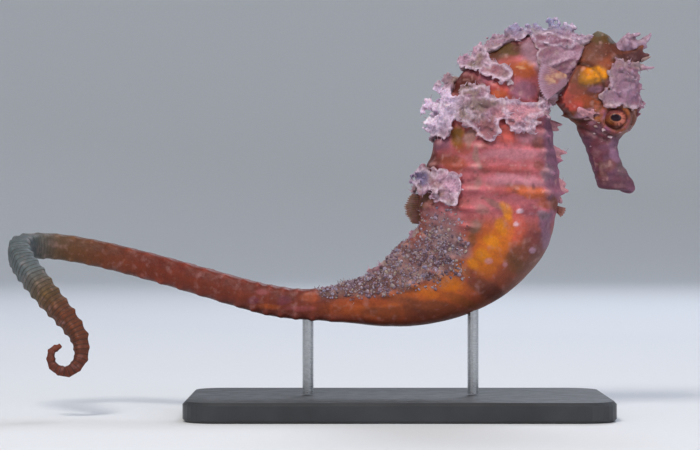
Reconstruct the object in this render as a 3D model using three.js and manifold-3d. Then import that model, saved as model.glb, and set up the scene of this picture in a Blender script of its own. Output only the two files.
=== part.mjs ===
// A seahorse, life size, as a still museum model on a plain display stand.
// Millimetres. +X is the way the animal faces, +Z is up, and the animal's right side looks to -Y.
// The origin is the middle of the model's box, at the underside of the stand's base.
import * as THREE from "three";
import { mergeVertices } from "three/addons/utils/BufferGeometryUtils.js";
import Module from "manifold-3d";

const wasm = await Module();
wasm.setup();

// ---------- driving dimensions ----------

const GAP = 0.3; // what is left between two parts that meet
const TRUNK_SIDES = 18; // corners in each ring
const TAIL_SIDES = 12;
const HEAD_SIDES = 18;
const RING_HEIGHT = 0.25; // how far a bony ring stands out from the skin between two rings

// The trunk's rings, from inside the head to the root of the tail, each cut from back to belly:
// [back x, back z, belly x, belly z, width].
const TRUNK_RINGS = [
  [54.6, 73.0, 46.4, 62.6, 6.6],
  [48.2, 76.0, 44.8, 62.8, 8.2],
  [41.6, 76.8, 43.8, 62.6, 9.6],
  [36.0, 75.4, 43.4, 62.2, 10.6],
  [30.8, 72.4, 43.6, 61.8, 11.6],
  [26.4, 68.4, 44.0, 61.0, 12.4],
  [23.6, 63.8, 44.4, 59.4, 13.0],
  [22.0, 59.0, 45.0, 56.2, 13.6],
  [20.8, 54.4, 45.4, 52.6, 14.2],
  [19.4, 50.0, 46.2, 48.6, 14.8],
  [17.8, 45.6, 46.6, 44.6, 15.2],
  [17.6, 41.8, 45.8, 40.6, 15.4],
  [17.8, 38.8, 45.0, 36.4, 15.2],
  [16.8, 36.0, 43.4, 33.0, 14.6],
  [14.8, 33.6, 40.0, 28.6, 13.4],
  [12.8, 31.2, 35.0, 24.2, 12.0],
  [10.4, 29.4, 28.0, 20.6, 10.6],
  [7.2, 27.8, 20.4, 18.4, 9.2],
  [3.0, 26.4, 12.0, 17.6, 8.0],
];

// The tail's middle line from there to the tip, with its thickness: [x, y, z, thickness].
// It swings round at the far left, comes back on the animal's right side and ends in a hook.
const TAIL_LINE = [
  [0.8, 0.0, 22.1, 7.0],
  [-6.2, 0.0, 22.2, 6.4],
  [-11.8, 0.3, 23.0, 6.4],
  [-17.0, 1.0, 24.3, 6.2],
  [-24.6, 3.5, 26.4, 6.0],
  [-32.6, 7.0, 28.6, 5.8],
  [-40.6, 10.5, 30.6, 5.7],
  [-48.6, 13.0, 32.4, 5.6],
  [-56.0, 12.6, 33.6, 5.5],
  [-61.0, 9.2, 33.6, 5.4],
  [-62.2, 4.4, 32.6, 5.4],
  [-61.0, 0.2, 30.4, 5.3],
  [-58.4, -2.7, 27.4, 5.2],
  [-55.2, -4.6, 23.6, 4.8],
  [-51.8, -6.0, 19.8, 4.2],
  [-49.0, -7.2, 15.8, 3.5],
  [-48.6, -8.0, 11.8, 2.9],
  [-51.0, -8.2, 9.2, 2.4],
  [-54.0, -7.8, 10.2, 2.0],
  [-54.4, -7.2, 13.0, 1.6],
  [-52.6, -6.8, 14.2, 1.2],
];
const TAIL_WIDTH = 0.92; // width for each unit of thickness

// The head's rings, from the mouth to the nape: [throat x, throat z, brow x, brow z, width].
const HEAD_RINGS = [
  [54.8, 44.9, 61.0, 44.4, 3.4],
  [53.6, 46.6, 61.3, 46.0, 5.0],
  [53.0, 48.6, 59.8, 48.6, 5.2],
  [52.1, 51.4, 58.4, 51.4, 5.2],
  [51.2, 54.0, 58.0, 54.0, 5.8],
  [50.2, 56.2, 58.8, 55.8, 7.0],
  [49.0, 58.4, 60.8, 57.4, 8.6],
  [47.0, 60.4, 61.8, 59.4, 9.8],
  [45.6, 62.4, 62.0, 61.6, 10.4],
  [45.6, 64.6, 61.8, 64.0, 10.6],
  [46.4, 67.4, 61.8, 66.6, 10.0],
  [48.0, 70.2, 61.6, 69.0, 8.8],
  [49.8, 72.8, 60.6, 71.2, 7.4],
  [51.8, 75.2, 58.4, 73.4, 5.2],
  [53.8, 77.0, 56.0, 76.0, 2.6],
];
const SNOUT_END = 5; // the ring where the snout meets the face
const SNOUT_GAP = 0.06; // half of what is left between the two, in rings
const BROW_NARROWING = 0.22; // how much narrower the head is at the brow than at the cheeks

const EYE_PLACE = [57.0, 3.2, 59.2]; // of the left eye; the right one mirrors it
const EYE_RADIUS = 2.5;
const GILL_PLACE = [50.0, 3.6, 64.4];
const GILL_SIZE = [4.4, 2.1, 5.2]; // half of its length, thickness and height

const CORONET_FOOT = [59.4, 70.6];
const CORONET_TOP = [62.7, 72.9];
const CORONET_RADII = [3.0, 2.1]; // at its foot and at its rim
const CORONET_POINTS = 5;
const CORONET_HORN = { radius: 0.85, height: 1.9, lean: 0.45, spread: 0.72 };
// The pale frond over the coronet, seen from the side: [x, z].
const FROND_OUTLINE = [
  [56.4, 71.2],
  [57.4, 72.8],
  [58.6, 73.6],
  [59.3, 75.1],
  [59.9, 76.2],
  [60.6, 75.3],
  [61.4, 74.9],
  [62.6, 75.2],
  [63.8, 75.9],
  [64.8, 76.4],
  [64.5, 74.9],
  [63.6, 73.6],
  [62.6, 72.3],
  [60.8, 71.4],
  [57.6, 70.2],
];
const FROND_THICKNESS = 1.2;

const FIN_THICKNESS = 0.6;
const FIN_FOOT = 0.16; // half of a fan's foot as a share of its length
const FIN_SCALLOP = 0.94; // how far the web reaches between two rays
const PECTORAL_PLACE = [47.0, 6.3, 66.8];
const PECTORAL_LENGTH = 5.6;
const PECTORAL_SPREAD = 1.25; // the fan's whole angle
const PECTORAL_RAYS = 7;
const PECTORAL_TILT = 0.35; // how far it stands off the neck
const PECTORAL_DROOP = 0.3; // how far its middle ray points below straight back
const ANAL_PLACE = [45.4, 41.4];
const ANAL_LENGTH = 2.2;
const ANAL_SPREAD = 1.0;
const ANAL_RAYS = 3;
const ANAL_DROOP = 0.5;
const DORSAL_FIN = { first: 10.35, last: 12.2, height: 2.6, root: 1.2, thickness: 0.7 };

// The pouch: its rings, the share of the body's height that it takes, how far it stands proud of
// the belly at its fullest, how far inside the belly it starts, and its share of the width.
const POUCH = { first: 11.3, last: 18.8, share: 0.5, proud: 0.5, inset: 0.5, width: 0.98 };
// The body is this much thinner under the pouch, between the two pairs of rings and below the
// two angles from the middle of the back.
const POUCH_RELIEF = { depth: 0.7, start: [11.7, 12.5], end: [18.2, 18.8], angles: [1.7, 2.2] };

const STAND_TOP = 4.0;
const STAND_LENGTH = 84.0;
const STAND_DEPTH = 46.0;
const STAND_CORNER = 6.0;
const STAND_EDGE = 0.6;
const STAND_MIDDLE_X = 14.0;
const ROD_RADIUS = 1.1;
const ROD_SIDES = 12;
// Each rod ends inside a hole in the body; x, y and the height of its top.
const FRONT_ROD = [29.0, 0.0, 24.0];
const REAR_ROD = [-4.0, 0.0, 21.4];

// Patches of ruffled growth on the skin: [first ring, last ring, nearest and farthest angle from
// the middle of the back, depth].
const GROWTH_PATCHES = [
  [0.4, 4.2, 0.0, 0.9, 0.9],
  [4.3, 5.3, 0.0, 1.5, 0.9],
  [5.6, 7.3, 0.0, 2.4, 1.2],
  [7.5, 9.0, 0.0, 0.5, 0.6],
  [9.0, 10.4, 0.0, 1.1, 1.2],
  [10.6, 19.6, 0.0, 1.25, 0.8],
];

// Lobes of that growth which break the outline: [ring, angle from the back, length, breadth].
const BACK_LOBES = [
  [0.5, 0.2, 1.8, 3.6],
  [1.05, -0.2, 2.6, 3.6],
  [1.5, 0.15, 2.8, 4.0],
  [2.1, -0.1, 1.6, 3.6],
  [2.75, 0.15, 2.4, 4.0],
  [3.4, -0.2, 2.2, 3.6],
  [3.95, 0.2, 2.2, 3.4],
  [4.55, 0.1, 2.6, 3.6],
  [5.4, 0.0, 2.6, 3.0],
  [5.75, 0.2, 3.4, 3.8],
  [6.1, -0.9, 2.2, 3.8],
  [6.1, 1.0, 2.2, 3.8],
  [6.55, -0.1, 4.2, 4.6],
  [6.9, 1.3, 2.0, 4.0],
  [6.9, -1.3, 2.0, 4.0],
  [7.25, 0.2, 3.2, 3.6],
  [9.3, 0.3, 2.2, 3.4],
  [9.6, -0.2, 2.4, 3.0],
  [13.0, 0.3, 1.4, 3.0],
  [14.75, -0.1, 1.4, 3.4],
  [15.6, 0.3, 1.4, 3.0],
  [16.4, 0.0, 1.2, 2.8],
];
const BELLY_SPINES = [
  [6.5, Math.PI, 1.3, 1.8],
  [7.2, 2.6, 1.2, 1.6],
  [8.4, Math.PI, 1.7, 2.2],
  [9.1, 2.6, 1.2, 1.6],
  [10.0, Math.PI, 1.0, 2.4],
];
// Spines and filaments of the head: [ring, angle from the brow, length, breadth].
const HEAD_SPINES = [
  [6.7, 0.25, 1.6, 1.2],
  [8.2, 0.2, 3.0, 1.0],
  [8.9, 0.35, 3.6, 1.1],
  [6.3, 2.5, 1.2, 1.4],
  [5.7, 1.9, 0.9, 1.2],
];
const LOBE_ROOT = 1.2; // how deep a lobe or a spine is rooted in the body
const LOBE_FLATNESS = 0.45;

// ---------- shapes ----------

const { clamp, lerp, smoothstep: smooth } = THREE.MathUtils;
const flat = (x, z) => new THREE.Vector3(x, 0, z);

// One curve through equally spaced points, so that place 3 gives the third of them.
function track(points) {
  const curve = new THREE.CatmullRomCurve3(points, false, "catmullrom", 0.5);
  const last = points.length - 1;
  return (place) => curve.getPoint(clamp(place / last, 0, 1));
}

// A long body as two edges and a width. Each station has back and belly points and a width.
function makeBody(stations) {
  const back = track(stations.map((s) => s.back));
  const belly = track(stations.map((s) => s.belly));
  const width = track(stations.map((s) => new THREE.Vector3(s.width, 0, 0)));
  const middle = (place) => back(place).add(belly(place)).multiplyScalar(0.5);
  const step = 0.05;
  return {
    last: stations.length - 1,
    frame(place) {
      const along = middle(place + step).sub(middle(place - step)).normalize();
      const up = back(place).sub(belly(place)).multiplyScalar(0.5);
      const height = up.length();
      up.normalize();
      const side = up.clone().cross(along).normalize();
      return { middle: middle(place), along, up, side, height, half: width(place).x / 2 };
    },
  };
}

// How many mm of the body's middle line one step of place covers.
function stretch(body, place) {
  return Math.max(body.frame(place + 0.1).middle.distanceTo(body.frame(place - 0.1).middle) / 0.2, 0.5);
}

// A closed solid: a capped cylinder whose rings are carried onto the body's rings.
// outline(place, angle, height, half) gives the reach towards the back and towards the side.
// grow widens the solid on all sides, and moves the caps outwards along the body too.
function sweep(body, outline, from, to, rings, sides, grow = 0) {
  const geometry = new THREE.CylinderGeometry(1, 1, 1, sides, rings);
  const position = geometry.attributes.position;
  const { along: firstAlong } = body.frame(from);
  const { along: lastAlong } = body.frame(to);
  for (let i = 0; i < position.count; i += 1) {
    const place = lerp(from, to, 0.5 - position.getY(i));
    const angle = Math.atan2(position.getX(i), position.getZ(i));
    const reach = Math.hypot(position.getX(i), position.getZ(i));
    const { middle, up, side, height, half } = body.frame(place);
    const [upward, sideward] = outline(place, angle, height, half);
    middle.addScaledVector(up, reach * (upward + grow * Math.cos(angle)));
    middle.addScaledVector(side, reach * (sideward + grow * Math.sin(angle)));
    if (place === from) {
      middle.addScaledVector(firstAlong, -grow);
    }
    if (place === to) {
      middle.addScaledVector(lastAlong, grow);
    }
    position.setXYZ(i, middle.x, middle.y, middle.z);
  }
  return geometry;
}

function toSolid(geometry) {
  const bare = geometry.clone();
  bare.deleteAttribute("normal");
  bare.deleteAttribute("uv");
  const merged = mergeVertices(bare, 1e-4);
  const vertProperties = new Float32Array(merged.attributes.position.array);
  const triVerts = new Uint32Array(merged.index.array);
  return new wasm.Manifold(new wasm.Mesh({ numProp: 3, vertProperties, triVerts }));
}

function toGeometry(solid) {
  const { vertProperties, triVerts } = solid.getMesh();
  const geometry = new THREE.BufferGeometry();
  geometry.setAttribute("position", new THREE.BufferAttribute(vertProperties, 3));
  geometry.setIndex(new THREE.BufferAttribute(triVerts, 1));
  return geometry;
}

// Turns a shape that stands on the origin along +Y so that it points along a direction.
function aim(geometry, origin, direction, face) {
  const yAxis = direction.clone().normalize();
  const zAxis = face.clone().addScaledVector(yAxis, -face.dot(yAxis)).normalize();
  const xAxis = yAxis.clone().cross(zAxis);
  const turn = new THREE.Matrix4().makeBasis(xAxis, yAxis, zAxis);
  geometry.applyMatrix4(turn.setPosition(origin));
  return geometry;
}

// A flattened lobe or spine, rooted at a point of a body's surface.
function lobe(body, outline, [place, angle, length, breadth], pointed = false) {
  const { middle, along, up, side, height, half } = body.frame(place);
  const [upward, sideward] = outline(place, angle, height, half);
  const outward = up.clone().multiplyScalar(upward).addScaledVector(side, sideward);
  const root = middle.add(outward).addScaledVector(outward.clone().normalize(), -LOBE_ROOT);
  const whole = length + LOBE_ROOT;
  const shape = pointed
    ? new THREE.ConeGeometry(breadth / 2, whole, 6, 1)
    : new THREE.SphereGeometry(1, 6, 4).scale(breadth / 2, whole / 2, breadth / 2);
  shape.scale(1, 1, LOBE_FLATNESS);
  shape.translate(0, whole / 2, 0);
  const face = Math.abs(Math.cos(angle)) > 0.7 ? side : along;
  return toSolid(aim(shape, root, outward, face));
}

const model = new THREE.Group();

function addPart(name, geometry, colour, roughness = 0.7, metalness = 0) {
  const material = new THREE.MeshStandardMaterial({ color: colour, roughness, metalness });
  const mesh = new THREE.Mesh(geometry, material);
  mesh.name = name;
  model.add(mesh);
}

// ---------- the body's rings ----------

function trunkStations() {
  return TRUNK_RINGS.map(([backX, backZ, bellyX, bellyZ, width]) => ({
    back: flat(backX, backZ),
    belly: flat(bellyX, bellyZ),
    width,
  }));
}

// The tail's back keeps to one side of its line without twisting.
function tailStations(firstUp) {
  const line = TAIL_LINE.map(([x, y, z]) => new THREE.Vector3(x, y, z));
  const up = firstUp.clone().normalize();
  return TAIL_LINE.map(([, , , thickness], i) => {
    const before = line[Math.max(i - 1, 0)];
    const after = line[Math.min(i + 1, line.length - 1)];
    const along = after.clone().sub(before).normalize();
    up.addScaledVector(along, -up.dot(along)).normalize();
    return {
      back: line[i].clone().addScaledVector(up, thickness / 2),
      belly: line[i].clone().addScaledVector(up, -thickness / 2),
      width: thickness * TAIL_WIDTH,
    };
  });
}

const trunkRings = trunkStations();
const TAIL_START = trunkRings.length;
const lastTrunkRing = trunkRings[TAIL_START - 1];
const tailRings = tailStations(lastTrunkRing.back.clone().sub(lastTrunkRing.belly));
const body = makeBody([...trunkRings, ...tailRings]);

// Ridges run the length of the body: [angle from the middle of the back, rise].
const TRUNK_RIDGES = [
  [0.5, 0.04],
  [1.3, 0.07],
  [2.45, 0.04],
  [Math.PI, 0.04],
];
const TAIL_RIDGES = [
  [0.72, 0.1],
  [2.42, 0.1],
];
const RIDGE_BREADTH = 0.32;

function ridgeRise(ridges, angle) {
  return ridges.reduce((sum, [at, rise]) => {
    const off = (Math.abs(angle) - at) / RIDGE_BREADTH;
    return sum + rise * Math.exp(-off * off);
  }, 0);
}

function growthDepth(place, angle) {
  return GROWTH_PATCHES.reduce((depth, [first, last, near, far, most]) => {
    const begun = smooth(place, first - 0.25, first + 0.15);
    const ended = smooth(place, last - 0.15, last + 0.25);
    const inside = near === 0 ? 1 : smooth(angle, near - 0.3, near);
    const beyond = smooth(angle, far - 0.1, far + 0.3);
    return Math.max(depth, most * (begun - ended) * clamp(inside - beyond, 0, 1));
  }, 0);
}

// One bony ring to each step of the trunk and two to each step of the tail. The throat is smooth.
function ringRise(place, angle) {
  const tailPlace = Math.max(place - TAIL_START, 0);
  const rise = place < TAIL_START ? RING_HEIGHT : RING_HEIGHT * 0.6;
  const throat = smooth(place, 4, 7) + (1 - smooth(place, 4, 7)) * Math.max(0, Math.cos(angle));
  return rise * throat * Math.cos(Math.PI * 2 * (place + tailPlace));
}

// The body lies a little inside its outline where the pouch covers it.
function pouchRelief(place, angle) {
  const { depth, start, end, angles } = POUCH_RELIEF;
  const lengthwise = smooth(place, ...start) - smooth(place, ...end);
  return depth * lengthwise * smooth(angle, ...angles);
}

function bodyOutline(place, angle, height, half) {
  const inTail = smooth(place, TAIL_START - 4, TAIL_START + 1);
  const rise = lerp(ridgeRise(TRUNK_RIDGES, angle), ridgeRise(TAIL_RIDGES, angle), inTail);
  const turned = Math.abs(angle);
  const depth = growthDepth(place, turned) + ringRise(place, angle) - pouchRelief(place, turned);
  return [
    (height * (0.96 + rise) + depth) * Math.cos(angle),
    (half * (0.96 + rise) + depth) * Math.sin(angle),
  ];
}

// ---------- the head ----------

const head = makeBody(
  HEAD_RINGS.map(([throatX, throatZ, browX, browZ, width]) => ({
    back: flat(browX, browZ),
    belly: flat(throatX, throatZ),
    width,
  })),
);

// The snout is a round tube; the head above it is wedge shaped, narrow at the brow.
function headOutline(place, angle, height, half) {
  const above = smooth(place, SNOUT_END - 1, SNOUT_END + 3);
  const brow = 1 - BROW_NARROWING * above * Math.max(0, Math.cos(angle));
  return [height * Math.cos(angle), half * Math.sin(angle) * brow];
}

const SKULL_END = head.last;
const SKULL_STEPS = 14;
const SNOUT_STEPS = 6;

function headSolid(from, to, rings, grow = 0) {
  return toSolid(sweep(head, headOutline, from, to, rings, HEAD_SIDES, grow));
}

function ball([x, y, z], [radiusX, radiusY, radiusZ], around, down, side, grow = 0) {
  const geometry = new THREE.SphereGeometry(1, around, down);
  geometry.scale(radiusX + grow, radiusY + grow, radiusZ + grow);
  return geometry.translate(x, side * y, z);
}

const eye = (side, grow) => {
  const size = [EYE_RADIUS, EYE_RADIUS, EYE_RADIUS];
  return toSolid(ball(EYE_PLACE, size, 14, 8, side, grow));
};
const gill = (side, grow) => toSolid(ball(GILL_PLACE, GILL_SIZE, 12, 6, side, grow));
const SIDES = [["left", 1], ["right", -1]];

function coronet(grow = 0) {
  const foot = flat(...CORONET_FOOT);
  const rim = flat(...CORONET_TOP);
  const up = rim.clone().sub(foot);
  const length = up.length();
  const [footRadius, rimRadius] = CORONET_RADII;
  const stalk = new THREE.CylinderGeometry(rimRadius + grow, footRadius + grow, length + 2 * grow, 12);
  stalk.translate(0, length / 2, 0);
  const sideways = new THREE.Vector3(0, 1, 0);
  let solid = toSolid(aim(stalk, foot, up, sideways));
  for (let i = 0; i < CORONET_POINTS; i += 1) {
    const turn = (i / CORONET_POINTS) * Math.PI * 2;
    const horn = new THREE.ConeGeometry(CORONET_HORN.radius + grow, CORONET_HORN.height + grow, 6);
    horn.translate(0, CORONET_HORN.height / 4, 0);
    horn.rotateX(CORONET_HORN.lean);
    horn.translate(0, length, rimRadius * CORONET_HORN.spread);
    horn.rotateY(turn);
    solid = solid.add(toSolid(aim(horn, foot, up, sideways)));
  }
  return solid;
}

// The pale frond that grows over the coronet: a lobed plate, thick at its foot.
function coronetFrond() {
  const outline = new THREE.Shape(FROND_OUTLINE.map(([x, z]) => new THREE.Vector2(x, z)));
  const plate = new THREE.ExtrudeGeometry(outline, { depth: FROND_THICKNESS, bevelEnabled: false });
  plate.translate(0, 0, -FROND_THICKNESS / 2);
  plate.rotateX(Math.PI / 2);
  return toSolid(plate);
}

function buildHead() {
  let skull = headSolid(SNOUT_END + SNOUT_GAP, SKULL_END, SKULL_STEPS);
  for (const spine of HEAD_SPINES) {
    const [place, angle, ...size] = spine;
    skull = skull.add(lobe(head, headOutline, spine, true));
    skull = skull.add(lobe(head, headOutline, [place, -angle, ...size], true));
  }
  skull = skull.subtract(coronet(GAP));
  for (const [name, side] of SIDES) {
    skull = skull.subtract(eye(side, GAP)).subtract(gill(side, GAP));
    addPart(`eye_${name}`, toGeometry(eye(side, 0)), 0xc06030, 0.25);
    addPart(`gill_cover_${name}`, toGeometry(gill(side, 0)), 0xe08a20);
  }
  addPart("head", toGeometry(skull), 0xb8602c);
  addPart("snout", toGeometry(headSolid(0, SNOUT_END - SNOUT_GAP, SNOUT_STEPS)), 0x75485a);
  addPart("coronet", toGeometry(coronet()), 0x5a3420);
  const frondSpace = headSolid(SNOUT_END, SKULL_END, SKULL_STEPS, GAP).add(coronet(GAP));
  addPart("coronet_frond", toGeometry(coronetFrond().subtract(frondSpace)), 0xc8a4b8);
}

// ---------- neck, trunk and tail ----------

// [name, first ring, last ring, colour]; the neck starts inside the head, which is cut out of it.
const LENGTHS = [
  ["neck", 0.2, 5.0, 0xb86e72],
  ["trunk_upper", 5.0, 8.0, 0xc06a6a],
  ["trunk_middle", 8.0, 11.0, 0xc06a60],
  ["trunk_lower", 11.0, 14.0, 0xb86a50],
  ["tail_1", 14.0, 17.0, 0xa87060],
  ["tail_2", 17.0, 20.0, 0xc8642e],
  ["tail_3", 20.0, 22.5, 0xc06030],
  ["tail_4", 22.5, 25.0, 0xb85a30],
  ["tail_5", 25.0, 27.0, 0xa06040],
  ["tail_6", 27.0, 29.0, 0x8a6a48],
  ["tail_7", 29.0, 31.0, 0x8a6a48],
  ["tail_8", 31.0, 33.5, 0x9a6438],
  ["tail_9", 33.5, 35.5, 0xa85a30],
  ["tail_10", 35.5, 37.3, 0xa85a30],
  ["tail_tip", 37.3, 39.0, 0xa85a30],
];

// The pouch lies along the belly: its own stations run from the body's belly up to its share
// of the height, and it tapers to nothing at both ends.
function pouchSolid(grow = 0) {
  const stations = [];
  const count = 13;
  for (let i = 0; i < count; i += 1) {
    const along = i / (count - 1);
    const place = lerp(POUCH.first, POUCH.last, along);
    const fullness = Math.sqrt(Math.max(Math.sin(Math.PI * (0.04 + 0.92 * along)), 0));
    const { middle, up, height, half } = body.frame(place);
    const reach = height - POUCH.inset + POUCH.proud * fullness;
    const belly = middle.clone().addScaledVector(up, -reach);
    const back = middle.clone().addScaledVector(up, -height + height * 2 * POUCH.share * fullness);
    stations.push({ back, belly, width: 2 * half * POUCH.width * fullness });
  }
  const pouch = makeBody(stations);
  const outline = (place, angle, height, half) => [height * Math.cos(angle), half * Math.sin(angle)];
  return toSolid(sweep(pouch, outline, 0, pouch.last, 14, 14, grow));
}

function rodSolid([x, y, top], grow = 0) {
  const length = top - STAND_TOP - GAP + grow;
  const rod = new THREE.CylinderGeometry(ROD_RADIUS + grow, ROD_RADIUS + grow, length, ROD_SIDES);
  rod.rotateX(Math.PI / 2);
  return toSolid(rod.translate(x, y, STAND_TOP + GAP + length / 2));
}

// A thin fin along the middle of the back, rooted on the skin.
function dorsalFin() {
  const stations = [];
  const count = 8;
  for (let i = 0; i < count; i += 1) {
    const along = i / (count - 1);
    const place = lerp(DORSAL_FIN.first, DORSAL_FIN.last, along);
    const { middle, up, height } = body.frame(place);
    const rise = DORSAL_FIN.height * (0.45 + 0.55 * Math.sin(Math.PI * (0.15 + 0.7 * along)));
    stations.push({
      back: middle.clone().addScaledVector(up, height + rise),
      belly: middle.clone().addScaledVector(up, height - DORSAL_FIN.root),
      width: DORSAL_FIN.thickness,
    });
  }
  const fin = makeBody(stations);
  const outline = (place, angle, height, half) => [
    height * clamp(Math.cos(angle) * 1.4, -1, 1),
    half * clamp(Math.sin(angle) * 1.4, -1, 1),
  ];
  return toSolid(sweep(fin, outline, 0, fin.last, 14, 8));
}

// A fan with a scalloped edge, as an upright plate that opens along +X from the origin.
function finPlate(length, spread, rays) {
  const outline = new THREE.Shape();
  const foot = length * FIN_FOOT;
  outline.moveTo(0, -foot);
  for (let i = 0; i <= rays * 2; i += 1) {
    const turn = lerp(-spread / 2, spread / 2, i / (rays * 2));
    const reach = length * (i % 2 === 0 ? 1 : FIN_SCALLOP);
    outline.lineTo(reach * Math.cos(turn), reach * Math.sin(turn));
  }
  outline.lineTo(0, foot);
  const plate = new THREE.ExtrudeGeometry(outline, { depth: FIN_THICKNESS, bevelEnabled: false });
  plate.translate(0, 0, -FIN_THICKNESS / 2);
  return plate.rotateX(Math.PI / 2);
}

function pectoralFin(side) {
  const plate = finPlate(PECTORAL_LENGTH, PECTORAL_SPREAD, PECTORAL_RAYS);
  plate.rotateZ(PECTORAL_TILT);
  plate.rotateY(Math.PI + PECTORAL_DROOP);
  const [x, y, z] = PECTORAL_PLACE;
  plate.translate(x, y, z);
  if (side < 0) {
    plate.scale(1, -1, 1);
    return toSolid(turnedInsideOut(plate));
  }
  return toSolid(plate);
}

// Swaps two corners of every triangle, so that a mirrored shape faces outwards again.
function turnedInsideOut(geometry) {
  const position = geometry.attributes.position;
  const second = new THREE.Vector3();
  const third = new THREE.Vector3();
  for (let i = 0; i < position.count; i += 3) {
    second.fromBufferAttribute(position, i + 1);
    third.fromBufferAttribute(position, i + 2);
    position.setXYZ(i + 1, third.x, third.y, third.z);
    position.setXYZ(i + 2, second.x, second.y, second.z);
  }
  return geometry;
}

// One length of the body. It stops half a gap short of both its ends.
function lengthSolid(first, last, grow = 0) {
  const from = first + GAP / 2 / stretch(body, first);
  const to = last - GAP / 2 / stretch(body, last);
  const inTail = first >= TAIL_START;
  const rings = Math.round((last - first) * (inTail ? 4 : 2.5));
  const sides = inTail ? TAIL_SIDES : TRUNK_SIDES;
  return toSolid(sweep(body, bodyOutline, from, to, rings, sides, grow));
}

function buildBody() {
  const headSpace = headSolid(SNOUT_END, SKULL_END, SKULL_STEPS, GAP);
  const gillSpace = gill(1, GAP).add(gill(-1, GAP));
  const pouchSpace = pouchSolid(GAP);
  const rods = [rodSolid(FRONT_ROD, GAP), rodSolid(REAR_ROD, GAP)];
  const trunkSpace = lengthSolid(8, 11, GAP).add(lengthSolid(11, 14, GAP));
  for (const [name, first, last, colour] of LENGTHS) {
    let solid = lengthSolid(first, last);
    for (const growth of BACK_LOBES.filter(([place]) => place > first && place < last)) {
      solid = solid.add(lobe(body, bodyOutline, growth));
    }
    for (const spine of BELLY_SPINES.filter(([place]) => place > first && place < last)) {
      solid = solid.add(lobe(body, bodyOutline, spine, true));
    }
    solid = solid.subtract(headSpace).subtract(gillSpace).subtract(pouchSpace);
    for (const rod of rods) {
      solid = solid.subtract(rod);
    }
    addPart(name, toGeometry(solid), colour);
  }
  addPart("brood_pouch", toGeometry(pouchSolid().subtract(rods[0])), 0xd07a2c);
  addPart("dorsal_fin", toGeometry(dorsalFin().subtract(trunkSpace)), 0x8a5a3a);
  for (const [name, side] of SIDES) {
    addPart(`pectoral_fin_${name}`, toGeometry(pectoralFin(side)), 0xc88a90);
  }
  const analFin = finPlate(ANAL_LENGTH, ANAL_SPREAD, ANAL_RAYS);
  analFin.rotateY(ANAL_DROOP);
  analFin.translate(ANAL_PLACE[0], 0, ANAL_PLACE[1]);
  addPart("anal_fin", toGeometry(toSolid(analFin).subtract(trunkSpace).subtract(pouchSpace)), 0xc08070);
}

// ---------- the display stand ----------

function buildStand() {
  const outline = new THREE.Shape();
  const corner = STAND_CORNER;
  const halfX = STAND_LENGTH / 2 - STAND_EDGE;
  const halfY = STAND_DEPTH / 2 - STAND_EDGE;
  const corners = [[1, 1], [-1, 1], [-1, -1], [1, -1]];
  corners.forEach(([signX, signY], i) => {
    const start = (i * Math.PI) / 2;
    const centreX = signX * (halfX - corner);
    const centreY = signY * (halfY - corner);
    outline.absarc(centreX, centreY, corner, start, start + Math.PI / 2);
  });
  const plate = new THREE.ExtrudeGeometry(outline, {
    depth: STAND_TOP - 2 * STAND_EDGE,
    bevelSize: STAND_EDGE,
    bevelThickness: STAND_EDGE,
    bevelSegments: 1,
    curveSegments: 4,
  });
  plate.translate(STAND_MIDDLE_X, 0, STAND_EDGE);
  addPart("stand_base", plate, 0x202224, 0.5);
  addPart("stand_rod_front", toGeometry(rodSolid(FRONT_ROD)), 0xb8bcc0, 0.35, 1);
  addPart("stand_rod_rear", toGeometry(rodSolid(REAR_ROD)), 0xb8bcc0, 0.35, 1);
}

buildHead();
buildBody();
buildStand();

export default model;
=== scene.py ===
"""A life-size seahorse as a painted museum model: one skin, glass eyes, soft growth, fins, stand."""

import math

import bmesh
import bpy
import numpy as np
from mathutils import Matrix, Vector
from mathutils.bvhtree import BVHTree
from mathutils.kdtree import KDTree


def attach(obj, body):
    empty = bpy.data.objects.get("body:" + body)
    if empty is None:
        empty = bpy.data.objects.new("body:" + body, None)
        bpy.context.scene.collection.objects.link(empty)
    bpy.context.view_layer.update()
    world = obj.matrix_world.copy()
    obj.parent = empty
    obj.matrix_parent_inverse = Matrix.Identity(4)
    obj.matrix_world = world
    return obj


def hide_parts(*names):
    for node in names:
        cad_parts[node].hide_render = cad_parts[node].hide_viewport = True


MM = 0.001
SENSOR_WIDTH = 36.0  # mm
CAMERA_DISTANCE = 0.5  # m
VIEW_WIDTH = 0.14  # m, what the camera sees at that distance
PATCH_SIZE = 0.003  # the share of the unwrap that one grain's patch is wide
SKIN_VOXEL, GROWTH_VOXEL, FROND_VOXEL = 0.31, 0.21, 0.2  # mm
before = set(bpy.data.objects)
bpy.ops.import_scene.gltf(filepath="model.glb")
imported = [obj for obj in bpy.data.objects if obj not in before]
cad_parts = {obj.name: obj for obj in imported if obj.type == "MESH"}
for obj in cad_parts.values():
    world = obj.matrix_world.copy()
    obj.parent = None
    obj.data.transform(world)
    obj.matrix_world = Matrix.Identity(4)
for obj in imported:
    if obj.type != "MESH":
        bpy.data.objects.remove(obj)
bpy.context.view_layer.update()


# ---------- small tools ----------


def linear(text):
    """An sRGB hex colour, or an ink's, as linear red, green and blue."""
    text = INKS.get(text, text)
    parts = [int(text[i : i + 2], 16) / 255 for i in (1, 3, 5)]
    return np.array([c / 12.92 if c <= 0.04045 else ((c + 0.055) / 1.055) ** 2.4 for c in parts])


def shade_of(text):
    """The same colour as a node socket takes it."""
    return (*linear(text), 1.0)


def smooth(value, low, high):
    """0 below low, 1 above high, eased between; low may be the larger one."""
    t = np.clip((np.asarray(value, float) - low) / (high - low), 0, 1)
    return t * t * (3 - 2 * t)


def hump(value, middle, width):
    """1 at the middle, falling off to both sides over about that width."""
    return np.exp(-(((value - middle) / width) ** 2))


def lerp(a, b, t):
    return a + (b - a) * t


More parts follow.
